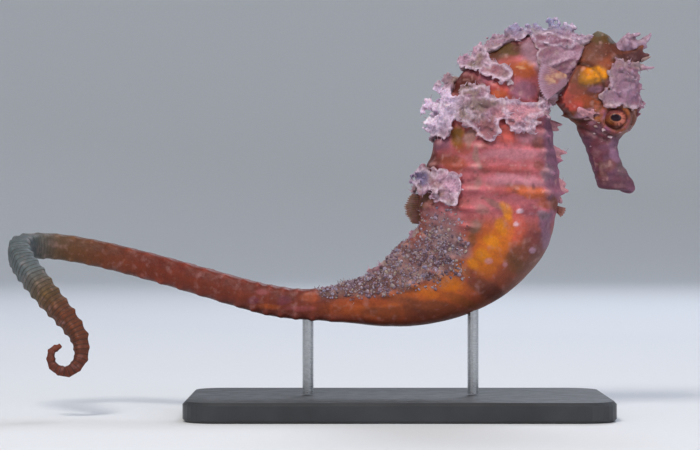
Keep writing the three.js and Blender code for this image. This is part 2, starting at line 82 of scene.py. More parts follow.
def washed(colours, ink, cover):
    """The colours with an ink over them, as strong as its cover at each point."""
    return lerp(colours, linear(ink), np.asarray(cover)[:, None])


def unit(vectors):
    return vectors / np.maximum(np.linalg.norm(vectors, axis=-1, keepdims=True), 1e-12)


def dot(a, b):
    return (a * b).sum(axis=-1)


def lattice(points, seed):
    """Value noise on a unit lattice, from -1 to 1."""
    base = np.floor(points).astype(np.int64)
    part = points - base
    part = part * part * (3 - 2 * part)
    total = np.zeros(len(points))
    for corner in np.ndindex(2, 2, 2):
        cell = (base + corner) * np.array([73856093, 19349663, 83492791])
        mixed = (cell[:, 0] ^ cell[:, 1] ^ cell[:, 2] ^ (seed * 2654435761)) & 0xFFFFFFFF
        mixed = ((mixed ^ (mixed >> 13)) * 1274126177) & 0xFFFFFFFF
        value = ((mixed ^ (mixed >> 16)) & 0xFFFF) / 32767.5 - 1
        total += value * np.prod(np.where(corner, part, 1 - part), axis=1)
    return total


def noise(points, size, seed=0, octaves=2):
    """Smooth noise, about -1 to 1, with features of that size in mm."""
    total, share = np.zeros(len(points)), 1.0
    for k in range(octaves):
        total += share * lattice(points / size * 2**k + 31.7 * (k + 1), seed * 7 + k)
        share *= 0.5
    return total / (2 - 2 ** (1 - octaves))


def placed(name, data):
    """A new object in the scene."""
    made = bpy.data.objects.new(name, data)
    bpy.context.scene.collection.objects.link(made)
    return made


def make_object(name, points, faces):
    """A mesh object from points in mm."""
    mesh = bpy.data.meshes.new(name)
    mesh.from_pydata((np.asarray(points) * MM).tolist(), [], [list(map(int, f)) for f in faces])
    mesh.update()
    return placed(name, mesh)


def plain_copy(name, rough):
    """What an object's modifiers make of it, as a plain mesh object in its stead."""
    depsgraph = bpy.context.evaluated_depsgraph_get()
    mesh = bpy.data.meshes.new_from_object(rough.evaluated_get(depsgraph))
    bpy.data.objects.remove(rough)
    mesh.name = name
    return placed(name, mesh)


def read(items, key, width=1, kind=np.float32):
    """One property of every item, in rows of that width."""
    flat = np.zeros(len(items) * width, kind)
    items.foreach_get(key, flat)
    return flat.reshape(-1, width) if width > 1 else flat


def points_of(mesh):
    """The mesh's points in mm."""
    return read(mesh.vertices, "co", 3).astype(float) / MM


def normals_of(mesh):
    return unit(read(mesh.vertices, "normal", 3).astype(float))


def edges_of(mesh):
    return read(mesh.edges, "vertices", 2, np.int32)


def corners_of(mesh):
    """The point at each corner of the faces, and where each face's corners start."""
    return read(mesh.loops, "vertex_index", 1, np.int32), read(mesh.polygons, "loop_start", 1, np.int32)


def move_points(mesh, points):
    mesh.vertices.foreach_set("co", (points * MM).astype(np.float32).ravel())
    mesh.update()


def shade_smooth(mesh):
    mesh.polygons.foreach_set("use_smooth", np.ones(len(mesh.polygons), bool))
    mesh.update()


def neighbour_mean(values, edges):
    """The mean of each point's neighbours."""
    values = values if values.ndim == 2 else values[:, None]
    count = np.bincount(edges.ravel(), minlength=len(values))
    total = np.empty_like(values)
    for k in range(values.shape[1]):
        there = np.bincount(edges[:, 0], values[edges[:, 1], k], len(values))
        back = np.bincount(edges[:, 1], values[edges[:, 0], k], len(values))
        total[:, k] = (there + back) / np.maximum(count, 1)
    return total


def relax(values, edges, rounds, share=0.5):
    for _ in range(rounds):
        mean = neighbour_mean(values, edges)
        values = lerp(values, mean if values.ndim == 2 else mean[:, 0], share)
    return values


def set_attribute(mesh, name, values):
    """Stores one number, vector or colour for each point."""
    values = np.asarray(values, np.float32)
    kind, key = {0: ("FLOAT", "value"), 3: ("FLOAT_VECTOR", "vector"), 4: ("FLOAT_COLOR", "color")}[
        0 if values.ndim == 1 else values.shape[1]
    ]
    layer = mesh.attributes.get(name) or mesh.attributes.new(name, kind, "POINT")
    layer.data.foreach_set(key, values.ravel())


def set_tint(mesh, colours):
    """The painted colour that most of the materials read."""
    set_attribute(mesh, "tint", np.column_stack([colours, np.ones(len(colours))]))


def dress(mesh, material):
    mesh.materials.clear()
    mesh.materials.append(material)


def joined(parts):
    """Several (points, faces) as one."""
    points, faces, start = [], [], 0
    for some, its_faces in parts:
        points.append(some)
        faces.extend([[i + start for i in face] for face in its_faces])
        start += len(some)
    return np.vstack(points), faces


def remeshed(name, parts, voxel):
    """One closed surface around several closed shapes, from cubes of that many mm."""
    rough = make_object(name + "_rough", *joined(parts))
    modifier = rough.modifiers.new("melt", "REMESH")
    modifier.mode = "VOXEL"
    modifier.voxel_size = voxel * MM
    modifier.use_smooth_shade = True
    return plain_copy(name, rough)


def tube(rings, first=None, last=None):
    """Points and faces of a tube through rings of points, closed where it has an end point."""
    rings = np.asarray(rings, float)
    levels, sides = rings.shape[:2]
    around = [(k, (k + 1) % sides) for k in range(sides)]
    points, faces = [rings.reshape(-1, 3)], []
    for a in range(0, (levels - 1) * sides, sides):
        faces += [[a + k, a + n, a + sides + n, a + sides + k] for k, n in around]
    tip = levels * sides
    if first is not None:
        faces += [[tip, n, k] for k, n in around]
        points.append(first)
        tip += 1
    if last is not None:
        base = (levels - 1) * sides
        faces += [[tip, base + k, base + n] for k, n in around]
        points.append(last)
    return np.vstack(points), faces


def hoop(across, other, sides):
    """Unit spokes all the way round, from one direction towards the other."""
    turns = np.linspace(0, 2 * math.pi, sides, endpoint=False)
    return np.outer(np.cos(turns), across) + np.outer(np.sin(turns), other)


def finish_piece(piece, slot, *nodes):
    """The piece rides with the model and stands for its CAD nodes, which it hides; slot is not used."""
    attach(piece, "root")
    if nodes:
        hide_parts(*nodes)
    return piece


# ---------- camera and light ----------


def make_camera():
    """Level, square to the animal's right side, half a metre away."""
    camera = placed("camera", bpy.data.cameras.new("camera"))
    camera.location = (0.0044, -CAMERA_DISTANCE, 0.038)
    camera.rotation_euler = (math.pi / 2, 0, 0)
    camera.data.sensor_width = SENSOR_WIDTH
    camera.data.lens = SENSOR_WIDTH * CAMERA_DISTANCE / VIEW_WIDTH
    camera.data.clip_start = 0.01
    bpy.context.scene.camera = camera


def softbox(name, place, target, size, power, colour):
    """A round lamp of that width in metres and power in watts, turned to its target."""
    lamp = bpy.data.lights.new(name, "AREA")
    lamp.shape = "DISK"
    lamp.size = size
    lamp.energy = power
    lamp.color = linear(colour)
    made = placed(name, lamp)
    made.location = place
    made.rotation_euler = (Vector(target) - Vector(place)).to_track_quat("-Z", "Y").to_euler()


def make_lights():
    middle = (0.01, 0.0, 0.045)
    softbox("key", (-0.20, -0.62, 0.72), middle, 0.28, 5.8, "#FFF6EC")
    softbox("fill", (0.75, -0.55, 0.35), middle, 0.60, 2.2, "#F2F4FF")
    softbox("rim", (0.25, 0.75, 0.75), middle, 0.45, 4.2, "#EAF0FF")
    world = bpy.data.worlds.new("studio")
    bpy.context.scene.world = world
    world.use_nodes = True
    background = world.node_tree.nodes["Background"]
    background.inputs["Color"].default_value = shade_of("#E6EAF0")
    background.inputs["Strength"].default_value = 0.42
    bpy.context.scene.view_settings.view_transform = "Standard"


# ---------- the body's rings, in mm ----------

TRUNK_RINGS = [
    [54.6, 73.0, 46.4, 62.6, 6.6], [48.2, 76.0, 44.8, 62.8, 8.2], [41.6, 76.8, 43.8, 62.6, 9.6],
    [36.0, 75.4, 43.4, 62.2, 10.6], [30.8, 72.4, 43.6, 61.8, 11.6], [26.4, 68.4, 44.0, 61.0, 12.4],
    [23.6, 63.8, 44.4, 59.4, 13.0], [22.0, 59.0, 45.0, 56.2, 13.6], [20.8, 54.4, 45.4, 52.6, 14.2],
    [19.4, 50.0, 46.2, 48.6, 14.8], [17.8, 45.6, 46.6, 44.6, 15.2], [17.6, 41.8, 45.8, 40.6, 15.4],
    [17.8, 38.8, 45.0, 36.4, 15.2], [16.8, 36.0, 43.4, 33.0, 14.6], [14.8, 33.6, 40.0, 28.6, 13.4],
    [12.8, 31.2, 35.0, 24.2, 12.0], [10.4, 29.4, 28.0, 20.6, 10.6], [7.2, 27.8, 20.4, 18.4, 9.2],
    [3.0, 26.4, 12.0, 17.6, 8.0],
]
TAIL_LINE = [
    [0.8, 0.0, 22.1, 7.0], [-6.2, 0.0, 22.2, 6.4], [-11.8, 0.3, 23.0, 6.4], [-17.0, 1.0, 24.3, 6.2],
    [-24.6, 3.5, 26.4, 6.0], [-32.6, 7.0, 28.6, 5.8], [-40.6, 10.5, 30.6, 5.7], [-48.6, 13.0, 32.4, 5.6],
    [-56.0, 12.6, 33.6, 5.5], [-61.0, 9.2, 33.6, 5.4], [-62.2, 4.4, 32.6, 5.4], [-61.0, 0.2, 30.4, 5.3],
    [-58.4, -2.7, 27.4, 5.2], [-55.2, -4.6, 23.6, 4.8], [-51.8, -6.0, 19.8, 4.2], [-49.0, -7.2, 15.8, 3.5],
    [-48.6, -8.0, 11.8, 2.9], [-51.0, -8.2, 9.2, 2.4], [-54.0, -7.8, 10.2, 2.0], [-54.4, -7.2, 13.0, 1.6],
    [-52.6, -6.8, 14.2, 1.2],
]
HEAD_RINGS = [
    [54.8, 44.9, 61.0, 44.4, 3.4], [53.6, 46.6, 61.3, 46.0, 5.0], [53.0, 48.6, 59.8, 48.6, 5.2],
    [52.1, 51.4, 58.4, 51.4, 5.2], [51.2, 54.0, 58.0, 54.0, 5.8], [50.2, 56.2, 58.8, 55.8, 7.0],
    [49.0, 58.4, 60.8, 57.4, 8.6], [47.0, 60.4, 61.8, 59.4, 9.8], [45.6, 62.4, 62.0, 61.6, 10.4],
    [45.6, 64.6, 61.8, 64.0, 10.6], [46.4, 67.4, 61.8, 66.6, 10.0], [48.0, 70.2, 61.6, 69.0, 8.8],
    [49.8, 72.8, 60.6, 71.2, 7.4], [51.8, 75.2, 58.4, 73.4, 5.2], [53.8, 77.0, 56.0, 76.0, 2.6],
]
TAIL_WIDTH = 0.92
TAIL_START = len(TRUNK_RINGS)
POUCH_FIRST, POUCH_LAST = 11.3, 18.8
FOLD_SPACING, ANNULUS_SPACING = 2.7, 0.85  # mm, on the flanks and round the tail's end
# How far the skin's features stand out or lie in, in mm.
TRUNK_RING, TAIL_RING, FLANK_FOLD, RIDGE_KNOB, CRUST_MOUND, POUCH_SWELL = 0.27, 0.20, 0.24, 0.75, 1.5, 0.45
SNOUT_WRINKLE, LIP, MOUTH, BROW, GILL_GROOVE, GILL_STRIA, FURROW = 0.05, 0.22, 0.45, 0.3, 0.40, 0.10, 0.3
TRUNK_RIDGES = [(0.5, 0.04), (1.3, 0.07), (2.45, 0.04), (math.pi, 0.04)]
TAIL_RIDGES = [(0.72, 0.1), (2.42, 0.1)]
EYE_PLACE = np.array([57.0, 3.2, 59.2])
EYE_RADIUS = 2.5
LID_TOP, SOCKET_TOP = 4.55, 4.7  # mm out from the middle of the head
GILL_PLACE = np.array([50.0, 3.6, 64.4])
GILL_SIZE = np.array([4.4, 2.1, 5.2])


def curve(points, place):
    """The smooth curve through equally spaced points."""
    padded = np.vstack([2 * points[0] - points[1], points, 2 * points[-1] - points[-2]])
    place = np.clip(place, 0, len(points) - 1)
    first = np.minimum(place.astype(int), len(points) - 2)
    t = (place - first)[:, None]
    a, b, c, d = (padded[first + k] for k in range(4))
    leave, arrive = 0.5 * (c - a), 0.5 * (d - b)
    bend = -3 * b + 3 * c - 2 * leave - arrive
    return b + leave * t + bend * t**2 + (2 * b - 2 * c + leave + arrive) * t**3


class Rings:
    """A long body as a back edge, a belly edge and a width."""

    def __init__(self, back, belly, width):
        self.edges = np.hstack([back, belly, np.asarray(width, float)[:, None]])
        self.last = len(width) - 1

    def middle(self, place):
        at = curve(self.edges, place)
        return (at[:, 0:3] + at[:, 3:6]) / 2

    def frame(self, place):
        place = np.atleast_1d(np.asarray(place, float))
        at = curve(self.edges, place)
        along = unit(self.middle(place + 0.05) - self.middle(place - 0.05))
        reach = (at[:, 0:3] - at[:, 3:6]) / 2
        height = np.linalg.norm(reach, axis=1)
        up = unit(reach)
        side = unit(np.cross(up, along))
        return (at[:, 0:3] + at[:, 3:6]) / 2, along, up, side, height, at[:, 6] / 2


def side_rings(rows):
    rows = np.array(rows, float)
    flat = np.zeros((len(rows), 3))
    back, belly = flat.copy(), flat.copy()
    back[:, [0, 2]], belly[:, [0, 2]] = rows[:, 0:2], rows[:, 2:4]
    return back, belly, rows[:, 4]


def whole_body():
    """Neck, trunk and tail in one; the tail's back keeps to one side of its line."""
    back, belly, width = side_rings(TRUNK_RINGS)
    line = np.array(TAIL_LINE, float)
    up = unit(back[-1] - belly[-1])
    tail_back, tail_belly = [], []
    for i, (*at, thickness) in enumerate(line):
        along = unit(line[min(i + 1, len(line) - 1), :3] - line[max(i - 1, 0), :3])
        up = unit(up - along * dot(up, along))
        tail_back.append(np.array(at) + up * thickness / 2)
        tail_belly.append(np.array(at) - up * thickness / 2)
    return Rings(
        np.vstack([back, tail_back]),
        np.vstack([belly, tail_belly]),
        np.concatenate([width, line[:, 3] * TAIL_WIDTH]),
    )


BODY = whole_body()
HEAD = Rings(*side_rings(HEAD_RINGS))


def ridge_rise(ridges, angle):
    return sum(rise * hump(np.abs(angle), at, 0.32) for at, rise in ridges)


def body_outline(place, angle, height, half):
    """The reach towards the back and towards the side, without the growth."""
    in_tail = smooth(place, TAIL_START - 4, TAIL_START + 1)
    rise = lerp(ridge_rise(TRUNK_RIDGES, angle), ridge_rise(TAIL_RIDGES, angle), in_tail)
    return height * (0.95 + rise) * np.cos(angle), half * (0.95 + rise) * np.sin(angle)


def head_outline(place, angle, height, half):
    above = smooth(place, 4, 8)
    brow = 1 - 0.22 * above * np.maximum(0, np.cos(angle))
    return height * np.cos(angle), half * np.sin(angle) * brow


def loft(rings, outline, places, sides):
    """A closed tube of points and faces around a body."""
    angles = np.linspace(-math.pi, math.pi, sides, endpoint=False)
    place, angle = (a.ravel() for a in np.meshgrid(places, angles, indexing="ij"))
    middle, _, up, side, height, half = rings.frame(place)
    upward, sideward = outline(place, angle, height, half)
    points = middle + up * upward[:, None] + side * sideward[:, None]
    rows = points.reshape(len(places), sides, 3)
    return tube(rows, rows[0].mean(axis=0), rows[-1].mean(axis=0))


def locate(rings, outline, points, first=0.0):
    """Each point's place and angle on a body, and how far outside its outline it lies."""
    places = np.arange(first, rings.last + 0.01, 0.12)
    angles = np.linspace(-math.pi, math.pi, 20, endpoint=False)
    place, angle = (a.ravel() for a in np.meshgrid(places, angles, indexing="ij"))
    middle, _, up, side, height, half = rings.frame(place)
    upward, sideward = outline(place, angle, height, half)
    known = middle + up * upward[:, None] + side * sideward[:, None]
    tree = KDTree(len(known))
    for i, at in enumerate(known):
        tree.insert(at, i)
    tree.balance()
    place = place[[tree.find(p)[1] for p in points]]
    for _ in range(4):
        middle, _, up, side, _, _ = rings.frame(place)
        through = unit(np.cross(side, up))
        speed = dot(rings.middle(place + 0.05) - rings.middle(place - 0.05), through) / 0.1
        speed = np.where(np.abs(speed) < 0.4, 0.4 * np.sign(speed + 1e-9), speed)
        step = dot(points - middle, through) / speed
        place = np.clip(place + np.clip(step, -0.15, 0.15), first, rings.last)
    middle, _, up, side, height, half = rings.frame(place)
    upward, sideward = dot(points - middle, up), dot(points - middle, side)
    angle = np.arctan2(sideward / half, upward / height)
    out = np.hypot(upward, sideward) - np.hypot(*outline(place, angle, height, half))
    beyond = dot(points - middle, unit(np.cross(side, up)))
    return place, angle, np.where(np.abs(beyond) > 0.3, np.hypot(np.maximum(out, 0), beyond), out)


def arc_table():
    """The length of the body's middle line, in mm, up to each place."""
    places = np.linspace(0, BODY.last, 800)
    steps = np.linalg.norm(np.diff(BODY.middle(places), axis=0), axis=1)
    return places, np.concatenate([[0], np.cumsum(steps)])


ARC_PLACES, ARC_LENGTHS = arc_table()


# ---------- the side view on which marks and growth are laid out ----------
# It is drawn five units to the millimetre, right and down from its upper left corner.
STEP, LEFT, TOP = 0.2, -65.6, 83.0  # mm


def drawn(x, y):
    """A spot of the side view as x and z in mm."""
    return np.array([STEP * x + LEFT, TOP - STEP * y])


def stroke_field(points, strokes):
    """How far inside the nearest stroke each point lies, in mm, seen from the side.
    A stroke is [x, y, x, y, radius, radius] on the side view."""
    flat = points[:, [0, 2]]
    best = np.full(len(points), -1e3)
    for x1, y1, x2, y2, r1, r2 in strokes:
        a, b = drawn(x1, y1), drawn(x2, y2)
        t = np.clip((flat - a) @ (b - a) / max((b - a) @ (b - a), 1e-6), 0, 1)
        off = np.linalg.norm(flat - a - t[:, None] * (b - a), axis=1)
        best = np.maximum(best, STEP * lerp(r1, r2, t) - off)
    return best


# Mats of soft ruffled growth: what they grow on, how thick they are, where they lie and
# where they leave holes, as strokes.
MATS = {
    "neck_top": ("body", 0.65, [
        [484, 46, 505, 34, 7, 9], [505, 32, 545, 27, 9, 12], [545, 27, 580, 36, 12, 7],
        [540, 38, 568, 42, 6, 5], [584, 40, 590, 46, 5, 5],
    ], [[524, 37, 532, 38, 1.2, 1.2]]),
    "shoulder": ("body", 0.75, [
        [464, 56, 472, 58, 12, 13], [474, 54, 482, 65, 9, 8], [484, 69, 503, 75, 7, 5],
        [446, 64, 456, 58, 4, 7],
    ], [[470, 56, 473, 57, 1.2, 1.2], [484, 66, 487, 68, 1.3, 1.2]]),
    "collar": ("body", 0.85, [
        [430, 86, 442, 100, 6, 10], [422, 110, 445, 110, 8, 15], [422, 131, 440, 124, 6, 11],
        [445, 110, 478, 109, 13, 11], [466, 97, 480, 94, 5, 6], [478, 110, 520, 113, 10, 8],
        [520, 112, 538, 110, 8, 5], [480, 118, 488, 133, 13, 9], [436, 128, 444, 134, 7, 4],
        [508, 124, 528, 126, 5, 4],
    ], [[466, 112, 472, 118, 1.4, 1.0], [502, 112, 506, 116, 1.3, 1.3], [446, 104, 449, 108, 1.2, 1.2]]),
    "tuft": ("body", 0.75, [
        [410, 176, 426, 177, 4, 7], [426, 181, 438, 183, 6, 6], [442, 180, 452, 187, 8, 9],
        [440, 194, 450, 199, 5, 5], [418, 184, 424, 186, 4, 3],
    ], [[430, 172, 434, 176, 1.8, 1.2]]),
    "fan": ("body", 0.34, [
        [540, 42, 588, 50, 8, 9], [552, 60, 578, 58, 15, 13], [552, 76, 566, 70, 12, 12],
        [551, 90, 556, 86, 7, 7],
    ], []),
    "throat": ("body", 0.4, [[542, 107, 552, 99, 4, 4], [498, 84, 508, 86, 2, 2]], []),
    "forehead": ("head", 0.43, [
        [619, 76, 622, 88, 11, 12], [634, 75, 632, 96, 11, 9], [644, 70, 641, 82, 5, 7],
        [609, 97, 632, 101, 6, 8], [601, 98, 611, 98, 3.5, 5],
    ], [[622, 91, 630, 88, 1.3, 0.9]]),
}
# Where the granular crust lies thick and where it thins out, the smooth fan behind the gill,
# and the furrow across the cheek, as strokes too.
CRUST_THICK = [[434, 252, 398, 270, 26, 23], [398, 270, 355, 284, 22, 14], [355, 284, 322, 292, 13, 7]]
CRUST_THIN = [
    [428, 214, 450, 222, 9, 14], [425, 225, 440, 262, 12, 22], [462, 228, 446, 255, 7, 18],
    [458, 272, 430, 283, 8, 8],
]
NECK_FAN = [[535, 52, 582, 52, 14, 10], [552, 66, 566, 60, 18, 18], [553, 84, 560, 80, 10, 10]]
CHEEK_FURROW = [[572, 124, 606, 142, 0, 0]]
# Where the growth is palest, where it is rosy, and the warm root of the fan.
PALEST_GROWTH = [[425, 116, 440, 100, 14, 16], [446, 186, 454, 190, 8, 8]]
ROSY_GROWTH = [[562, 120, 562, 205, 14, 14]]
FAN_ROOT = [[548, 80, 562, 72, 0, 0]]
# Pale warts round the eye and on the cheek, seen from the side: [x, y, radius in mm].
WARTS = [
    [602, 130, 0.51], [608, 137, 0.51], [606, 107, 0.51], [616, 106, 0.51], [632, 108, 0.53],
    [594, 127, 0.42], [593, 134, 0.36], [627, 130, 0.44], [597, 123, 0.34], [586, 125, 0.30],
    [624, 107, 0.36], [600, 142, 0.26], [618, 133, 0.32], [590, 147, 0.26], [560, 96, 0.34],
    [604, 44, 0.28], [610, 34, 0.30],
]
# Feathery flaps that lie on the cheek: [x, y, x, y, radius, radius in mm].
CHEEK_FLAPS = [
    [577, 110, 590, 114, 0.62, 0.34], [590, 113, 599, 115, 0.42, 0.16], [580, 114, 592, 118, 0.50, 0.26],
    [584, 119, 594, 121, 0.42, 0.16], [576, 112, 581, 117, 0.40, 0.24], [588, 110, 596, 110, 0.26, 0.12],
]
# Threads and small flaps on the midline: [x, y, x, y, radius, radius in mm].
WISPS = [
    [636, 112, 645, 103, 0.42, 0.20], [634, 118, 640, 114, 0.36, 0.20], [626, 131, 631, 126, 0.42, 0.22],
    [640, 68, 653, 68, 0.55, 0.22], [642, 60, 650, 57, 0.50, 0.22],
]
# Soft pointed flaps on the belly's keel, in the same terms.
BELLY_FLAPS = [
    [549, 123, 562, 125, 0.85, 0.22], [552, 128, 558, 130, 0.7, 0.3], [551, 150, 567, 153, 1.15, 0.24],
    [552, 158, 560, 158, 0.9, 0.4], [555, 182, 564, 184, 1.3, 0.5], [556, 190, 567, 191, 1.2, 0.42],
    [556, 197, 561, 202, 0.9, 0.4], [552, 205, 555, 208, 0.7, 0.4],
]
# Lobes of growth that break the outline: [place, angle from the back, length, breadth] in mm.
BACK_LOBES = [
    [0.5, 0.2, 1.8, 3.6], [1.05, -0.2, 2.6, 3.6], [1.5, 0.15, 2.8, 4.0], [2.1, -0.1, 1.6, 3.6],
    [2.75, 0.15, 2.4, 4.0], [3.4, -0.2, 2.2, 3.6], [3.95, 0.2, 2.2, 3.4], [4.55, 0.1, 2.6, 3.6],
    [5.4, 0.0, 2.6, 3.0], [5.75, 0.2, 3.4, 3.8], [6.1, -0.9, 2.2, 3.8], [6.1, 1.0, 2.2, 3.8],
    [6.55, -0.1, 4.2, 4.6], [6.9, 1.3, 2.0, 4.0], [6.9, -1.3, 2.0, 4.0], [7.25, 0.2, 3.2, 3.6],
    [9.3, 0.3, 2.2, 3.4], [9.6, -0.2, 2.4, 3.0], [13.0, 0.3, 1.4, 3.0], [14.75, -0.1, 1.4, 3.4],
    [15.6, 0.3, 1.4, 3.0], [16.4, 0.0, 1.2, 2.8],
]
BELLY_SPINES = [
    [6.5, math.pi, 1.3, 1.8], [7.2, 2.6, 1.2, 1.6], [7.2, -2.6, 1.2, 1.6], [8.4, math.pi, 1.7, 2.2],
    [9.1, 2.6, 1.2, 1.6], [9.1, -2.6, 1.2, 1.6], [10.0, math.pi, 1.0, 2.4],
]
HEAD_SPINES = [
    [6.7, 0.25, 1.6, 1.2], [6.3, 2.5, 1.2, 1.4], [5.7, 1.9, 0.9, 1.2], [8.2, 0.2, 2.2, 1.3],
]
CORONET_FOOT, CORONET_TOP = np.array([59.4, 0.0, 70.6]), np.array([62.7, 0.0, 72.9])


GROWTH_MARKS = [
    [434, 108, 24, 28, 0, "icy_lilac", 0.9], [470, 112, 14, 12, 0, "grey_green", 0.5],
    [515, 114, 26, 12, 0, "shell_pink", 0.85], [500, 124, 14, 8, 0, "pale_pink", 0.4],
    [484, 132, 14, 14, 0, "rose", 0.55], [464, 54, 14, 12, 0, "pale_lilac", 0.6],
    [492, 72, 12, 8, 0, "pink", 0.4], [474, 66, 8, 5, 0, "grey_green", 0.4],
    [418, 178, 12, 9, 0, "violet", 0.75], [449, 186, 15, 16, 0, "shell_lilac", 0.8],
    [436, 190, 8, 8, 0, "tan", 0.4], [588, 115, 16, 9, 0, "shell_pink", 0.7],
    [625, 82, 20, 18, 0, "lilac", 0.7], [616, 99, 20, 9, 0, "lilac", 0.7],
    [628, 78, 8, 6, 0, "violet_grey", 0.5], [548, 104, 8, 8, 0, "pale_pink", 0.5],
    [555, 80, 10, 7, 0, "tan", 0.55], [562, 66, 16, 4, -25, "orange", 0.25],
]


def mat_field(points, name):
    """How far inside a mat's scalloped edge each point lies, in mm."""
    _, _, strokes, holes = MATS[name]
    ragged = 0.6 * noise(points, 2.4, 3) + 0.45 * noise(points, 1.1, 5)
    field = stroke_field(points, strokes) + ragged
    return np.minimum(field, -stroke_field(points, holes)) if holes else field


def crust_field(place, angle, points):
    """0 to 1, where the grey granular crust covers the lower back and the tail's root."""
    ragged = 1.0 * noise(points, 4.5, 11, 3) + 0.9 * noise(points, 1.6, 12, 2)
    thick, thin = stroke_field(points, CRUST_THICK), stroke_field(points, CRUST_THIN)
    upper = 1 - smooth(np.abs(angle), 1.9, 2.2)
    cover = np.maximum(smooth(thick + ragged, -0.9, 2.0), 0.6 * smooth(thin + ragged, -0.8, 3.6))
    return np.clip(cover * upper * smooth(place, 9.6, 10.4), 0, 1)


# ---------- skin ----------


def cone(root, tip, radius, sides=10):
    """A closed spine, curved in a little below its tip."""
    along = unit(tip - root)
    across = unit(np.cross(along, [0.3, 0.9, 0.1]))
    other = np.cross(along, across)
    levels = [(0, 1), (0.35, 0.72), (0.7, 0.4), (0.95, 0.16)]
    ring = hoop(across, other, sides) * radius
    return tube([root + (tip - root) * t + ring * r for t, r in levels], root, tip)


def surface_point(rings, outline, place, angle):
    """A point of a body's outline and the way out of it."""
    middle, _, up, side, height, half = rings.frame(place)
    upward, sideward = outline(np.array([place]), np.array([angle]), height, half)
    outward = up * upward + side * sideward
    return (middle + outward)[0], unit(outward)[0]


def spine_parts():
    """The short spines of the belly's keel and of the head."""
    parts = []
    for rings, outline, rows in ((BODY, body_outline, BELLY_SPINES), (HEAD, head_outline, HEAD_SPINES)):
        for place, angle, length, breadth in rows:
            for turn in (angle, -angle) if rings is HEAD else (angle,):
                at, out = surface_point(rings, outline, place, turn)
                lean = np.array([0.25, 0.0, -0.1]) if rings is BODY else np.array([0.3, 0.0, 0.0])
                tip = at + unit(out + lean) * length
                parts.append(cone(at - out * 0.8, tip, breadth * 0.5))
    return parts


def coronet_parts():
    """The bony crown: a flared stalk with five knobbed points."""
    up = unit(CORONET_TOP - CORONET_FOOT)
    across = np.array([0.0, 1.0, 0.0])
    other = np.cross(up, across)
    ring = hoop(across, other, 16)
    length = np.linalg.norm(CORONET_TOP - CORONET_FOOT)
    levels = [(-0.3, 2.7), (0.25, 2.35), (0.6, 1.75), (0.9, 2.05), (1.0, 1.9)]
    rows = [CORONET_FOOT + up * length * t + ring * r for t, r in levels]
    parts = [tube(rows, rows[0].mean(axis=0), rows[-1].mean(axis=0) - up * 0.5)]
    for i in range(5):
        turn = i / 5 * 2 * math.pi
        out = across * math.sin(turn) + other * math.cos(turn)
        root = CORONET_TOP + out * 1.3 - up * 0.6
        parts.append(cone(root, root + unit(up + out * 0.5) * 1.9, 0.75))
    return parts


def rough_skin():
    """Body, head, crown and spines melted into one closed surface."""
    places = np.concatenate([np.linspace(0.5, 19, 240), np.linspace(19.05, 39, 420)])
    parts = [loft(BODY, body_outline, places, 56)]
    parts.append(loft(HEAD, head_outline, np.linspace(0, HEAD.last, 150), 48))
    parts += coronet_parts() + spine_parts()
    return remeshed("seahorse_skin", parts, SKIN_VOXEL)


def ring_crests(place):
    """1 on a bony ring, 0 between two: one to each step of the trunk, two to each of the tail."""
    phase = place + np.maximum(place - TAIL_START, 0)
    off = np.abs(phase - np.round(phase))
    return hump(off, 0, 0.17)


def nodules(place, angle):
    """Knobs where the rings cross the ridges."""
    in_tail = smooth(place, TAIL_START - 3, TAIL_START)
    phase = place + np.maximum(place - TAIL_START, 0)
    off = (phase - np.round(phase)) / lerp(0.2, 0.26, in_tail)
    total = np.zeros(len(place))
    for ridges, size, share in ((TRUNK_RIDGES[:3], 0.13, 1 - in_tail), (TAIL_RIDGES, 0.22, in_tail * 0.6)):
        for at, _ in ridges:
            there = (np.abs(angle) - at) / size
            total = np.maximum(total, np.exp(-(there**2) - off**2) * share)
    return total


def pouch_cover(place, angle):
    lengthwise = smooth(place, POUCH_FIRST - 0.2, POUCH_FIRST + 1.2)
    lengthwise = lengthwise - smooth(place, POUCH_LAST - 0.8, POUCH_LAST + 0.2)
    return lengthwise * smooth(np.abs(angle), 1.25, 1.75)


